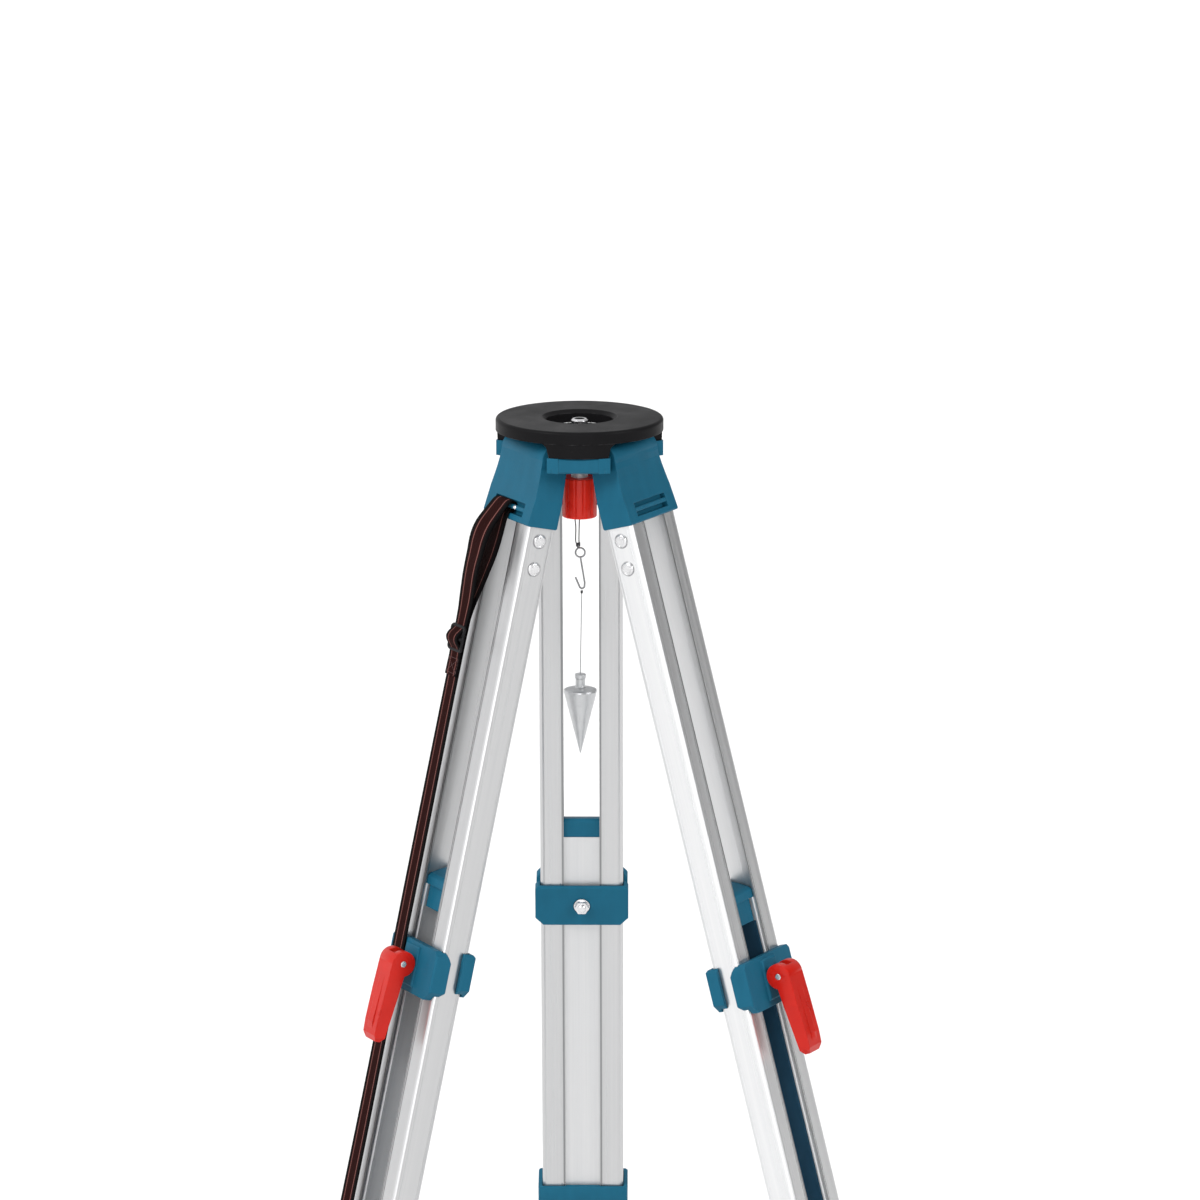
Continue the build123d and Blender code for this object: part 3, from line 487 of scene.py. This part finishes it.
# by material slot
MATS = {
    "head_black": head_black(),
    "moulding_blue": moulding("moulding_blue_grain", light=(0.0072, 0.100, 0.168),
                              dark=(0.0054, 0.086, 0.146), edge_wear_and_rim_light=(0.026, 0.18, 0.275)),
    "strip_blue": moulding("strip_blue_smooth", light=(0.012, 0.055, 0.100),
                           dark=(0.008, 0.040, 0.075), edge_wear_and_rim_light=(0.05, 0.13, 0.19)),
    "steel_bright": steel("steel_bright_zinc", base=(0.78, 0.78, 0.79), rough_low=0.20,
                          rough_high=0.34, edge_wear_and_rim_light=(0.92, 0.92, 0.92)),
    "steel_dark": steel("steel_blackened", base=(0.10, 0.10, 0.105), rough_low=0.34,
                        rough_high=0.48, edge_wear_and_rim_light=(0.35, 0.35, 0.36)),
    # painted light: knob and lever are one red; the knob's copy is made far brighter for its shade under the head,
    # the lever's darker for its strong light
    "knob_red": red_plastic("knob_red_gloss_brightened", deep=(0.86, 0.022, 0.009),
                            light=(0.96, 0.032, 0.013), edge_wear_and_rim_light=(0.98, 0.08, 0.04),
                            specular=0.26, coat=0.05),
    "lever_red": red_plastic("lever_red_gloss_darkened", deep=(0.44, 0.0085, 0.0034),
                             light=(0.52, 0.0115, 0.0046), edge_wear_and_rim_light=(0.66, 0.030, 0.013),
                             specular=0.22, coat=0.04),
    "cord_grey": thread("cord_braid", dark=(0.045, 0.045, 0.05), light=(0.09, 0.09, 0.095)),
    "bob_grey": bob_plating(),
    "strap_webbing": webbing(),
    "buckle_black": moulding("buckle_black_grain", light=(0.013, 0.012, 0.013),
                             dark=(0.008, 0.008, 0.009), edge_wear_and_rim_light=(0.06, 0.06, 0.06),
                             radius=0.0006),
}
WIRE = steel("hook_wire_steel", base=(0.30, 0.30, 0.31), rough_low=0.18, rough_high=0.30,
             edge_wear_and_rim_light=(0.75, 0.75, 0.75), radius=0.0003)
SCREW = screw_steel()
LINE = thread("line_braid", dark=(0.26, 0.26, 0.27), light=(0.40, 0.40, 0.41))
STITCH = thread("stitch_thread", dark=(0.05, 0.02, 0.02), light=(0.12, 0.05, 0.05))
# painted light and shade: all legs are one aluminium, but each leg's copy gets its own brightness, set for how the
# light falls on that leg
LIT_TONE = {"rear": 0.60, "left": 0.58, "right": 0.80}
RAIL = {side: aluminium("rail", side, LIT_TONE[side], metallic=0.94, rough_low=0.22, rough_high=0.32)
        for side in SIDES}
INNER_LEG = {side: aluminium("inner", side, LIT_TONE[side] + 0.05, metallic=0.66, rough_low=0.34,
                             rough_high=0.44, with_lip_highlight=True)
             for side in SIDES}


def paint_pieces():
    slots = {part["node"]: part["material_slot"] for part in frame["record"]["subparts"]}
    single = {"plumb_hook": WIRE, "centre_screw": SCREW}
    for name, piece in NODES.items():
        if slots[name] == "rail_aluminium":
            side = name.rsplit("_", 1)[1]
            material = (INNER_LEG if name.startswith("inner_leg") else RAIL)[side]
        else:
            material = single[name] if name in single else MATS[slots[name]]
        piece.data.materials.clear()
        piece.data.materials.append(material)


paint_pieces()


# ---------------------------------------------------------------- mesh tools
def mesh_object(name, shape, material, body, uvs=None):
    """A smooth-shaded object from (verts, faces), with one UV per vertex."""
    verts, faces = shape
    mesh = bpy.data.meshes.new(name)
    mesh.from_pydata([tuple(vert) for vert in verts], [], faces)
    mesh.update()
    if uvs is not None:
        layer = mesh.uv_layers.new(name="UVMap")
        for loop in mesh.loops:
            layer.data[loop.index].uv = uvs[loop.vertex_index]
    obj = bpy.data.objects.new(name, mesh)
    bpy.context.scene.collection.objects.link(obj)
    mesh.materials.append(material)
    for poly in mesh.polygons:
        poly.use_smooth = True
    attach(obj, body)
    return obj


def face_outwards(obj):
    edit = bmesh.new()
    edit.from_mesh(obj.data)
    bmesh.ops.recalc_face_normals(edit, faces=edit.faces)
    edit.to_mesh(obj.data)
    edit.free()


def spline(points, per):
    """Catmull-Rom through equal-length tuples, with per steps to a span."""
    before = tuple(2 * a - b for a, b in zip(points[0], points[1]))
    after = tuple(2 * a - b for a, b in zip(points[-1], points[-2]))
    padded = [before, *points, after]
    result = []
    for span in zip(padded, padded[1:], padded[2:], padded[3:]):
        for k in range(per):
            t = k / per
            result.append(tuple(
                0.5 * ((2 * b) + (-a + c) * t + (2 * a - 5 * b + 4 * c - d) * t * t
                       + (-a + 3 * b - 3 * c + d) * t ** 3)
                for a, b, c, d in zip(*span)
            ))
    result.append(points[-1])
    return result


def ring_faces(count, size):
    """Quads between successive rings of verts, with a cap at each end."""
    faces = []
    for i in range(count - 1):
        for k in range(size):
            k2 = (k + 1) % size
            faces.append((i * size + k, i * size + k2, (i + 1) * size + k2, (i + 1) * size + k))
    faces.append(tuple(range(size - 1, -1, -1)))
    faces.append(tuple((count - 1) * size + k for k in range(size)))
    return faces


def cross_axes(points):
    """Two directions square to the path at each point, without twist."""
    last = len(points) - 1
    tangents = [(points[min(last, i + 1)] - points[max(0, i - 1)]).normalized()
                for i in range(last + 1)]
    reference = Vector((0, 1, 0)) if abs(tangents[0].y) < 0.9 else Vector((1, 0, 0))
    first = tangents[0].cross(reference).normalized()
    for tangent in tangents:
        first = (first - tangent * first.dot(tangent)).normalized()
        yield first, tangent.cross(first)


def tube(points, radius, sides):
    """A closed tube along points."""
    verts = []
    for point, (first, second) in zip(points, cross_axes(points)):
        second = second.normalized()
        for k in range(sides):
            angle = 2 * pi * k / sides
            verts.append(point + first * (cos(angle) * radius) + second * (sin(angle) * radius))
    return verts, ring_faces(len(points), sides)


def join(shapes):
    verts, faces = [], []
    for part_verts, part_faces in shapes:
        start = len(verts)
        verts += part_verts
        faces += [tuple(i + start for i in face) for face in part_faces]
    return verts, faces


def path_lengths(points):
    """The length along the path at each of its points."""
    lengths = [0.0]
    for start, end in zip(points, points[1:]):
        lengths.append(lengths[-1] + (Vector(end) - Vector(start)).length)
    return lengths


def at_length(points, lengths, distance):
    i = 0
    while i < len(lengths) - 2 and lengths[i + 1] < distance:
        i += 1
    t = (distance - lengths[i]) / max(1e-9, lengths[i + 1] - lengths[i])
    return Vector(points[i]).lerp(Vector(points[i + 1]), min(1, max(0, t)))


def laid_cord(points, radius, pitch):
    """A cord of three plies wound round a path; pitch is one full turn."""
    plies = 3
    step = 0.35 * MM
    lengths = path_lengths(points)
    total = lengths[-1]
    count = max(8, int(total / step))
    centres = [at_length(points, lengths, total * i / count) for i in range(count + 1)]
    shapes = []
    for k in range(plies):
        path = []
        for i, (first, second) in enumerate(cross_axes(centres)):
            angle = 2 * pi * (total * i / count) / pitch + 2 * pi * k / plies
            path.append(centres[i] + (first * cos(angle) + second * sin(angle)) * radius * 0.5)
        shapes.append(tube(path, radius * 0.52, sides=7))
    return join(shapes)


# --------------------------------------------------------------- carry strap
# Flat webbing that comes out of the casting's slot as two layers, passes the
# slide and runs down the outside of the rail. Millimetres, left leg's frame.
WEB_THICK = 1.5
OUTER_CROWN = 0.35       # how far the outer layer's middle stands proud


def ribbon(name, stations, crown=0.0):
    """Webbing through stations of (edge, other edge, out, down, tilt)."""
    steps = 14
    across_dir = AXES["left"][1]
    middles = [left_leg((edge0 + edge1) / 2, out, down)
               for edge0, edge1, out, down, _ in stations]
    lengths = path_lengths(middles)
    last = len(stations) - 1
    verts, uvs = [], []
    previous = None
    for i, (edge0, edge1, out, down, tilt) in enumerate(stations):
        tangent = (middles[min(last, i + 1)] - middles[max(0, i - 1)]).normalized()
        normal = across_dir.cross(tangent).normalized()
        if previous is not None and normal.dot(previous) < 0:
            normal = -normal
        previous = normal
        for layer in (1, -1):
            for k in range(steps + 1)[::layer]:
                part = k / steps
                across = edge0 + (edge1 - edge0) * part
                # thinner towards the rounded selvedge
                inset = min(part, 1 - part) * (edge1 - edge0)
                half = WEB_THICK * 0.5 * (min(1.0, (inset + 0.25) / 0.9) ** 0.5)
                lift = layer * half + crown * (1 - (2 * part - 1) ** 2) + tilt * (part - 0.5)
                verts.append(left_leg(across, out, down) + normal * lift * MM)
                uvs.append((part, lengths[i]))
    faces = ring_faces(len(stations), 2 * (steps + 1))
    obj = mesh_object(name, (verts, faces), MATS["strap_webbing"], "leg_left",
                      uvs=uvs)
    face_outwards(obj)
    return obj


# Stations: one edge across, the other edge, out, down, tilt.
# The outer layer: over the slot's bar, bowed out, to the slide and over it.
OUTER = [
    (-6.0, 25.5, 11.35, 53.6, 0.0), (-6.0, 25.5, 11.5, 50.8, 0.0), (-5.8, 25.7, 13.2, 49.2, 0.0),
    (-5.6, 25.9, 16.6, 49.4, 0.0), (-5.2, 26.4, 19.2, 52.2, 0.0), (-4.9, 26.8, 22.2, 57.6, 0.3),
    (-4.4, 27.3, 25.6, 64.0, 0.8), (-3.5, 28.5, 30.2, 74.0, 1.4), (-2.2, 29.9, 32.4, 83.0, 1.2),
    (-0.8, 31.2, 33.2, 93.0, 0.4), (1.2, 32.8, 32.6, 105.0, -0.8), (3.6, 34.2, 32.1, 116.0, -1.4),
    (6.2, 35.4, 31.0, 128.0, -1.0), (9.2, 36.7, 29.0, 140.0, 0.0), (12.0, 37.8, 27.2, 151.0, 0.6),
    (14.6, 38.5, 26.0, 162.0, 0.3), (15.6, 38.6, 25.8, 172.0, 0.0), (15.8, 38.4, 26.0, 177.0, 0.0),
    (15.9, 38.3, 28.6, 181.5, 0.0), (15.9, 38.3, 32.0, 185.5, 0.0), (15.9, 38.3, 33.3, 189.5, 0.0),
    (15.9, 38.3, 32.0, 193.5, 0.0), (15.8, 38.4, 28.6, 197.5, 0.0), (15.7, 38.5, 26.4, 202.0, 0.0),
    (15.6, 38.6, 25.9, 208.0, 0.0), (15.6, 38.6, 26.0, 216.0, 0.2), (15.7, 38.5, 26.2, 226.0, 0.3),
]
# The inner layer, from the slot to the slide.
INNER = [
    (-6.0, 25.5, 11.35, 53.4, 0.0), (-6.2, 25.3, 11.5, 56.2, 0.0), (-6.3, 25.1, 13.2, 57.9, 0.0),
    (-6.4, 24.9, 16.4, 58.3, 0.0), (-6.5, 24.6, 18.4, 61.0, 0.0), (-6.2, 25.0, 19.2, 67.0, 0.0),
    (-5.2, 26.4, 19.5, 80.0, 0.4), (-3.3, 28.0, 19.6, 93.0, 0.5), (-1.0, 30.0, 19.9, 105.0, 0.3),
    (2.0, 32.0, 20.6, 117.0, 0.0), (5.5, 34.0, 21.5, 130.0, 0.0), (9.0, 36.0, 22.6, 143.0, 0.0),
    (12.2, 37.5, 23.6, 155.0, 0.0), (14.8, 38.5, 24.1, 168.0, 0.0), (15.4, 38.8, 24.2, 180.0, 0.0),
]
# The lower end, where the run closes in on the rail.
LOWER_END = [
    (15.5, 38.7, 24.3, 834.0, 0.0), (15.6, 38.6, 22.4, 840.0, 0.0), (15.7, 38.5, 19.9, 846.0, 0.0),
    (15.7, 38.5, 19.3, 852.0, 0.0), (15.7, 38.5, 19.3, 858.0, 0.0), (15.7, 38.5, 19.5, 865.0, 0.0),
]


def long_run():
    """The run stands just off the rail and waves a little outwards."""
    stations = []
    for down in range(186, 832, 8):
        wave = 0.55 * (0.5 + 0.5 * sin(down / 38.0)) * (0.5 + 0.5 * sin(down / 117.0 + 1.0))
        stations.append((15.4, 38.8, 24.3 + wave, down, 0.35 * sin(down / 51.0)))
    return stations


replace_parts(ribbon("carry_strap_outer_layer", spline(OUTER, 7), crown=OUTER_CROWN), "carry_strap")
ribbon("carry_strap_run", spline(INNER, 7)[:-1] + long_run() + spline(LOWER_END, 4))


def box_stitching():
    """The sewn box under the slide: four sides and two diagonals."""
    pitch, radius = 3.0, 0.28
    left, right, top, bottom = 18.0, 36.2, 209.0, 223.5
    inset = 0.6                               # of the diagonals' ends
    tail_edge, tail_width, tail_out = 15.6, 23.0, 26.05
    in_left, in_right = left + inset, right - inset
    in_top, in_bottom = top + inset, bottom - inset
    seams = [
        (left, top, right, top), (left, bottom, right, bottom),
        (left, top, left, bottom), (right, top, right, bottom),
        (in_left, in_top, in_right, in_bottom), (in_right, in_top, in_left, in_bottom),
    ]
    shapes = []
    for across0, down0, across1, down1 in seams:
        count = int(hypot(across1 - across0, down1 - down0) / pitch)
        for k in range(count):
            path = []
            for j in range(7):
                # a stitch fills the middle 0.72 of its pitch, and its ends dip
                t = (k + 0.14 + 0.72 * j / 6) / count
                across = across0 + (across1 - across0) * t
                part = (across - tail_edge) / tail_width
                surface = tail_out + WEB_THICK / 2 + OUTER_CROWN * (1 - (2 * part - 1) ** 2)
                lift = 0.26 * sin(pi * j / 6) ** 0.5 - 0.10 if 0 < j < 6 else -0.2
                path.append(left_leg(across, surface + lift, down0 + (down1 - down0) * t))
            shapes.append(tube(path, radius * MM, sides=7))
    mesh_object("strap_box_stitching", join(shapes), STITCH, "leg_left")


box_stitching()


def rounded_loop(left, right, top, bottom, radius):
    """Points (across, down) round a rectangle with rounded corners."""
    corners = ((right - radius, bottom - radius, 0), (left + radius, bottom - radius, 90),
               (left + radius, top + radius, 180), (right - radius, top + radius, 270))
    points = []
    for across, down, start in corners:
        for k in range(7):
            angle = radians(start + 90 * k / 6)
            points.append((across + radius * cos(angle), down + radius * sin(angle)))
    return points


def slide():
    """A moulded frame, bowed outwards, with a round bar across its middle."""
    left, right, top, bottom = 13.9, 41.2, 176.6, 202.6
    middle, half_length = (top + bottom) / 2, (bottom - top) / 2
    inset, corner = 1.6, 2.2                  # of the frame's centre line
    ends_out, bow = 26.0, 2.6
    half_wide, half_deep, lift = 1.55, 1.35, 0.6   # of the frame's section
    bar_inset, bar_out, bar_radius = 1.4, 29.6, 1.9
    sides = 14
    loop = rounded_loop(left + inset, right - inset, top + inset, bottom - inset, corner)
    count = len(loop)
    verts, faces = [], []
    for i, (across, down) in enumerate(loop):
        before, after = loop[i - 1], loop[(i + 1) % count]
        tangent = Vector((after[0] - before[0], after[1] - before[1])).normalized()
        out = ends_out + bow * (1 - ((down - middle) / half_length) ** 2)
        for k in range(sides):
            # a section between an oval and a rectangle
            angle = 2 * pi * k / sides
            wide = copysign(abs(cos(angle)) ** 0.7, cos(angle)) * half_wide
            deep = copysign(abs(sin(angle)) ** 0.7, sin(angle)) * half_deep
            verts.append(left_leg(across + tangent.y * wide, out + deep + lift,
                                  down - tangent.x * wide))
    for i in range(count):
        j = (i + 1) % count
        for k in range(sides):
            k2 = (k + 1) % sides
            faces.append((i * sides + k, j * sides + k, j * sides + k2, i * sides + k2))
    bar_length = right - left - 2 * bar_inset
    bar = [left_leg(left + bar_inset + bar_length * i / 10, bar_out, middle) for i in range(11)]
    shape = join([(verts, faces), tube(bar, bar_radius * MM, sides)])
    obj = mesh_object("strap_slide_frame", shape, MATS["buckle_black"], "leg_left")
    face_outwards(obj)
    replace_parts(obj, "strap_slide")


slide()


# --------------------------------------------------------------- plumb cords
def lashing(centre, rise, reach_x, reach_y, waves, steps, radius):
    """Three wavy turns of cord, stacked by rise."""
    turns = []
    for k in range(3):
        middle = centre + Vector((0, 0, k * rise))
        angles = [2 * pi * i / steps for i in range(steps + 1)]
        path = [middle + Vector((cos(a) * reach_x, sin(a) * reach_y, 0.0003 * sin(a * waves + k)))
                for a in angles]
        turns.append(tube(path, radius, sides=8))
    return turns


def cord_loop():
    """The cord down to the hook's ring, round its top and back up."""
    low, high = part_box("plumb_cord_loop")
    ring_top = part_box("plumb_hook")[1].z
    top = high.z - 0.0007
    left, right = low.x + 0.0006, high.x - 0.0006
    path = spline([
        (right - 0.0007, 0.0, top), (right - 0.0010, 0.0, top - 0.010),
        (right - 0.0012, 0.0, top - 0.022), (right - 0.0008, 0.0, ring_top + 0.0024),
        (right - 0.0010, 0.0, ring_top + 0.0004), (right - 0.0019, 0.0, ring_top - 0.0004),
        (right - 0.0030, 0.0, ring_top + 0.0004), (right - 0.0034, 0.0, ring_top + 0.0024),
        (right - 0.0044, 0.0, top - 0.022), (left + 0.0010, 0.0, top - 0.010),
        (left, 0.0, top),
    ], 8)
    # the lashed knot is just above the ring
    knot = lashing(Vector((right - 0.0020, 0.0, ring_top + 0.0016)), rise=0.0011,
                   reach_x=0.0017, reach_y=0.0013, waves=1, steps=18, radius=0.55 * MM)
    shape = join([laid_cord(path, radius=0.62 * MM, pitch=2.6 * MM), *knot])
    obj = mesh_object("plumb_cord_braid", shape, MATS["cord_grey"], "plumb_cord")
    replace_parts(obj, "plumb_cord_loop")


def bob_line():
    """The line down to the bob, with a knot at its top."""
    low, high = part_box("plumb_line")
    top = Vector((0.0020, 0.0, high.z - 0.0013))
    bottom = Vector((0.0006, 0.0, low.z + 0.0002))
    path = [top.lerp(bottom, i / 40) for i in range(41)]
    shape = laid_cord(path, radius=0.5 * MM, pitch=2.2 * MM)
    obj = mesh_object("plumb_line_braid", shape, LINE, "plumb_bob")
    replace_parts(obj, "plumb_line")
    knot = lashing(top + Vector((0.0, 0.0, 0.0004)), rise=-0.0009,
                   reach_x=0.0008, reach_y=0.0010, waves=2, steps=16, radius=0.42 * MM)
    mesh_object("plumb_line_knot", join(knot), MATS["cord_grey"], "plumb_bob")


cord_loop()
bob_line()

# -------------------------------------------------- stud beside the strap slot
STUD_ACROSS, STUD_OUT, STUD_DOWN = -11.0, 15.75, 53.5
# outline: height over STUD_OUT, radius (mm)
STUD_OUTLINE = [(-0.6, 2.2), (0.30, 2.2), (0.42, 2.05), (0.46, 1.7),
                (0.9, 1.66), (1.3, 1.45), (1.6, 1.0), (1.75, 0.35)]


def stud():
    """A small domed stud on the recess's bar, at the strap's edge."""
    sides = 28
    verts = []
    for height, radius in STUD_OUTLINE:
        for k in range(sides):
            angle = 2 * pi * k / sides
            verts.append(left_leg(STUD_ACROSS + radius * cos(angle), STUD_OUT + height,
                                  STUD_DOWN + radius * sin(angle)))
    shape = verts, ring_faces(len(STUD_OUTLINE), sides)
    face_outwards(mesh_object("strap_slot_stud", shape, MATS["steel_bright"], "leg_left"))


stud()

# ------------------------------------------------- rounded edges of hard pieces
EDGE_RADII = {
    "leg_casting": 0.0009, "clamp_bracket": 0.0007, "clamp_band": 0.0007,
    "clamp_lever": 0.0008, "rail_end_shoe": 0.0010, "foot_casting": 0.0010,
    "inner_leg_cap": 0.0007,
}


def soften(name, width):
    """Cleans up a piece's flat faces and rounds its sharp edges."""
    modifiers = NODES[name].modifiers
    weld = modifiers.new("weld", "WELD")
    weld.merge_threshold = 2e-6
    flatten = modifiers.new("flat", "DECIMATE")
    flatten.decimate_type = "DISSOLVE"
    flatten.angle_limit = radians(0.6)
    bevel = modifiers.new("round", "BEVEL")
    bevel.limit_method = "ANGLE"
    bevel.angle_limit = radians(28.0)
    bevel.width = width
    bevel.segments = 2
    bevel.use_clamp_overlap = True


for side in SIDES:
    for piece_name, edge_radius in EDGE_RADII.items():
        soften(f"{piece_name}_{side}", edge_radius)

# -------------------------------------------------------------------- studio
scene = bpy.context.scene


def studio_floor():
    half, z = 40.0, cad_box[0][2]
    material = floor_white()
    mesh = bpy.data.meshes.new("studio_floor")
    mesh.from_pydata([(-half, -half, z), (half, -half, z), (half, half, z), (-half, half, z)],
                     [], [(0, 1, 2, 3)])
    obj = bpy.data.objects.new("studio_floor", mesh)
    scene.collection.objects.link(obj)
    mesh.materials.append(material)


def studio_world():
    """A surround that darkens from -x to +x."""
    # place from -x (0) to +x (1), brightness
    stops = ((0.0, 1.30), (0.42, 0.98), (0.70, 0.58), (1.0, 0.08))
    world = bpy.data.worlds.new("studio")
    scene.world = world
    world.use_nodes = True
    nodes, links = world.node_tree.nodes, world.node_tree.links
    nodes.clear()
    output = nodes.new("ShaderNodeOutputWorld")
    background = nodes.new("ShaderNodeBackground")
    coords = nodes.new("ShaderNodeTexCoord")
    separate = nodes.new("ShaderNodeSeparateXYZ")
    ramp = nodes.new("ShaderNodeValToRGB")
    remap = nodes.new("ShaderNodeMapRange")
    links.new(coords.outputs["Generated"], separate.inputs[0])
    links.new(separate.outputs[0], remap.inputs[0])
    remap.inputs[1].default_value = -1.0
    remap.inputs[2].default_value = 1.0
    links.new(remap.outputs[0], ramp.inputs[0])
    ramp.color_ramp.interpolation = "EASE"
    elements = ramp.color_ramp.elements
    while len(elements) < len(stops):
        elements.new(0.5)
    for element, (position, bright) in zip(elements, stops):
        element.position = position
        element.color = (bright, bright, bright * 1.01, 1)
    links.new(ramp.outputs[0], background.inputs[0])
    background.inputs["Strength"].default_value = 0.85
    links.new(background.outputs[0], output.inputs[0])


def sun(name, towards, strength, angle):
    """A soft sun; towards points from the object to the light."""
    light = bpy.data.lights.new(name, "SUN")
    light.energy = strength
    light.angle = radians(angle)
    obj = bpy.data.objects.new(name, light)
    scene.collection.objects.link(obj)
    obj.rotation_mode = "QUATERNION"
    obj.rotation_quaternion = (-Vector(towards)).to_track_quat("-Z", "Y")


studio_floor()
studio_world()
sun("key_left", towards=(-0.62, -0.50, 0.62), strength=1.35, angle=24)
sun("right_fill", towards=(0.80, -0.40, 0.45), strength=1.42, angle=24)
sun("top_soft", towards=(0.15, 0.30, 0.95), strength=0.35, angle=50)
sun("front_fill", towards=(-0.10, -0.98, 0.12), strength=0.45, angle=24)

scene.view_settings.view_transform = "Standard"
scene.view_settings.look = "None"
scene.view_settings.exposure = 0.0
scene.view_settings.gamma = 1.0

# -------------------------------------------------------------------- camera
HEAD_TOP = Vector((0, 0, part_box("head_plate")[1].z))
ELEVATION, AZIMUTH = radians(11.3), radians(0.7)   # of the camera, seen from the head
DISTANCE = 6.0
# where the head's top lies off the optical axis, as slopes right and up
SLOPE_RIGHT, SLOPE_UP = -0.003253968, 0.02915873


def camera():
    data = bpy.data.cameras.new("camera")
    obj = bpy.data.objects.new("camera", data)
    scene.collection.objects.link(obj)
    scene.camera = obj
    data.sensor_fit = "HORIZONTAL"
    data.sensor_width = 36.0
    data.lens = 189.0
    data.clip_end = 200.0
    obj.location = HEAD_TOP + DISTANCE * Vector(
        (sin(AZIMUTH) * cos(ELEVATION), -cos(AZIMUTH) * cos(ELEVATION), sin(ELEVATION)))
    # turn step by step until the head's top lies at the wanted slopes
    to_head = HEAD_TOP - obj.location
    pitch, yaw = -ELEVATION - SLOPE_UP, AZIMUTH
    for _ in range(20):
        forward = Vector((-sin(yaw) * cos(pitch), cos(yaw) * cos(pitch), sin(pitch)))
        right = forward.cross(Vector((0, 0, 1))).normalized()
        depth = to_head.dot(forward)
        yaw += SLOPE_RIGHT - to_head.dot(right) / depth
        pitch += to_head.dot(right.cross(forward)) / depth - SLOPE_UP
    obj.rotation_mode = "QUATERNION"
    obj.rotation_quaternion = forward.to_track_quat("-Z", "Y")


camera()
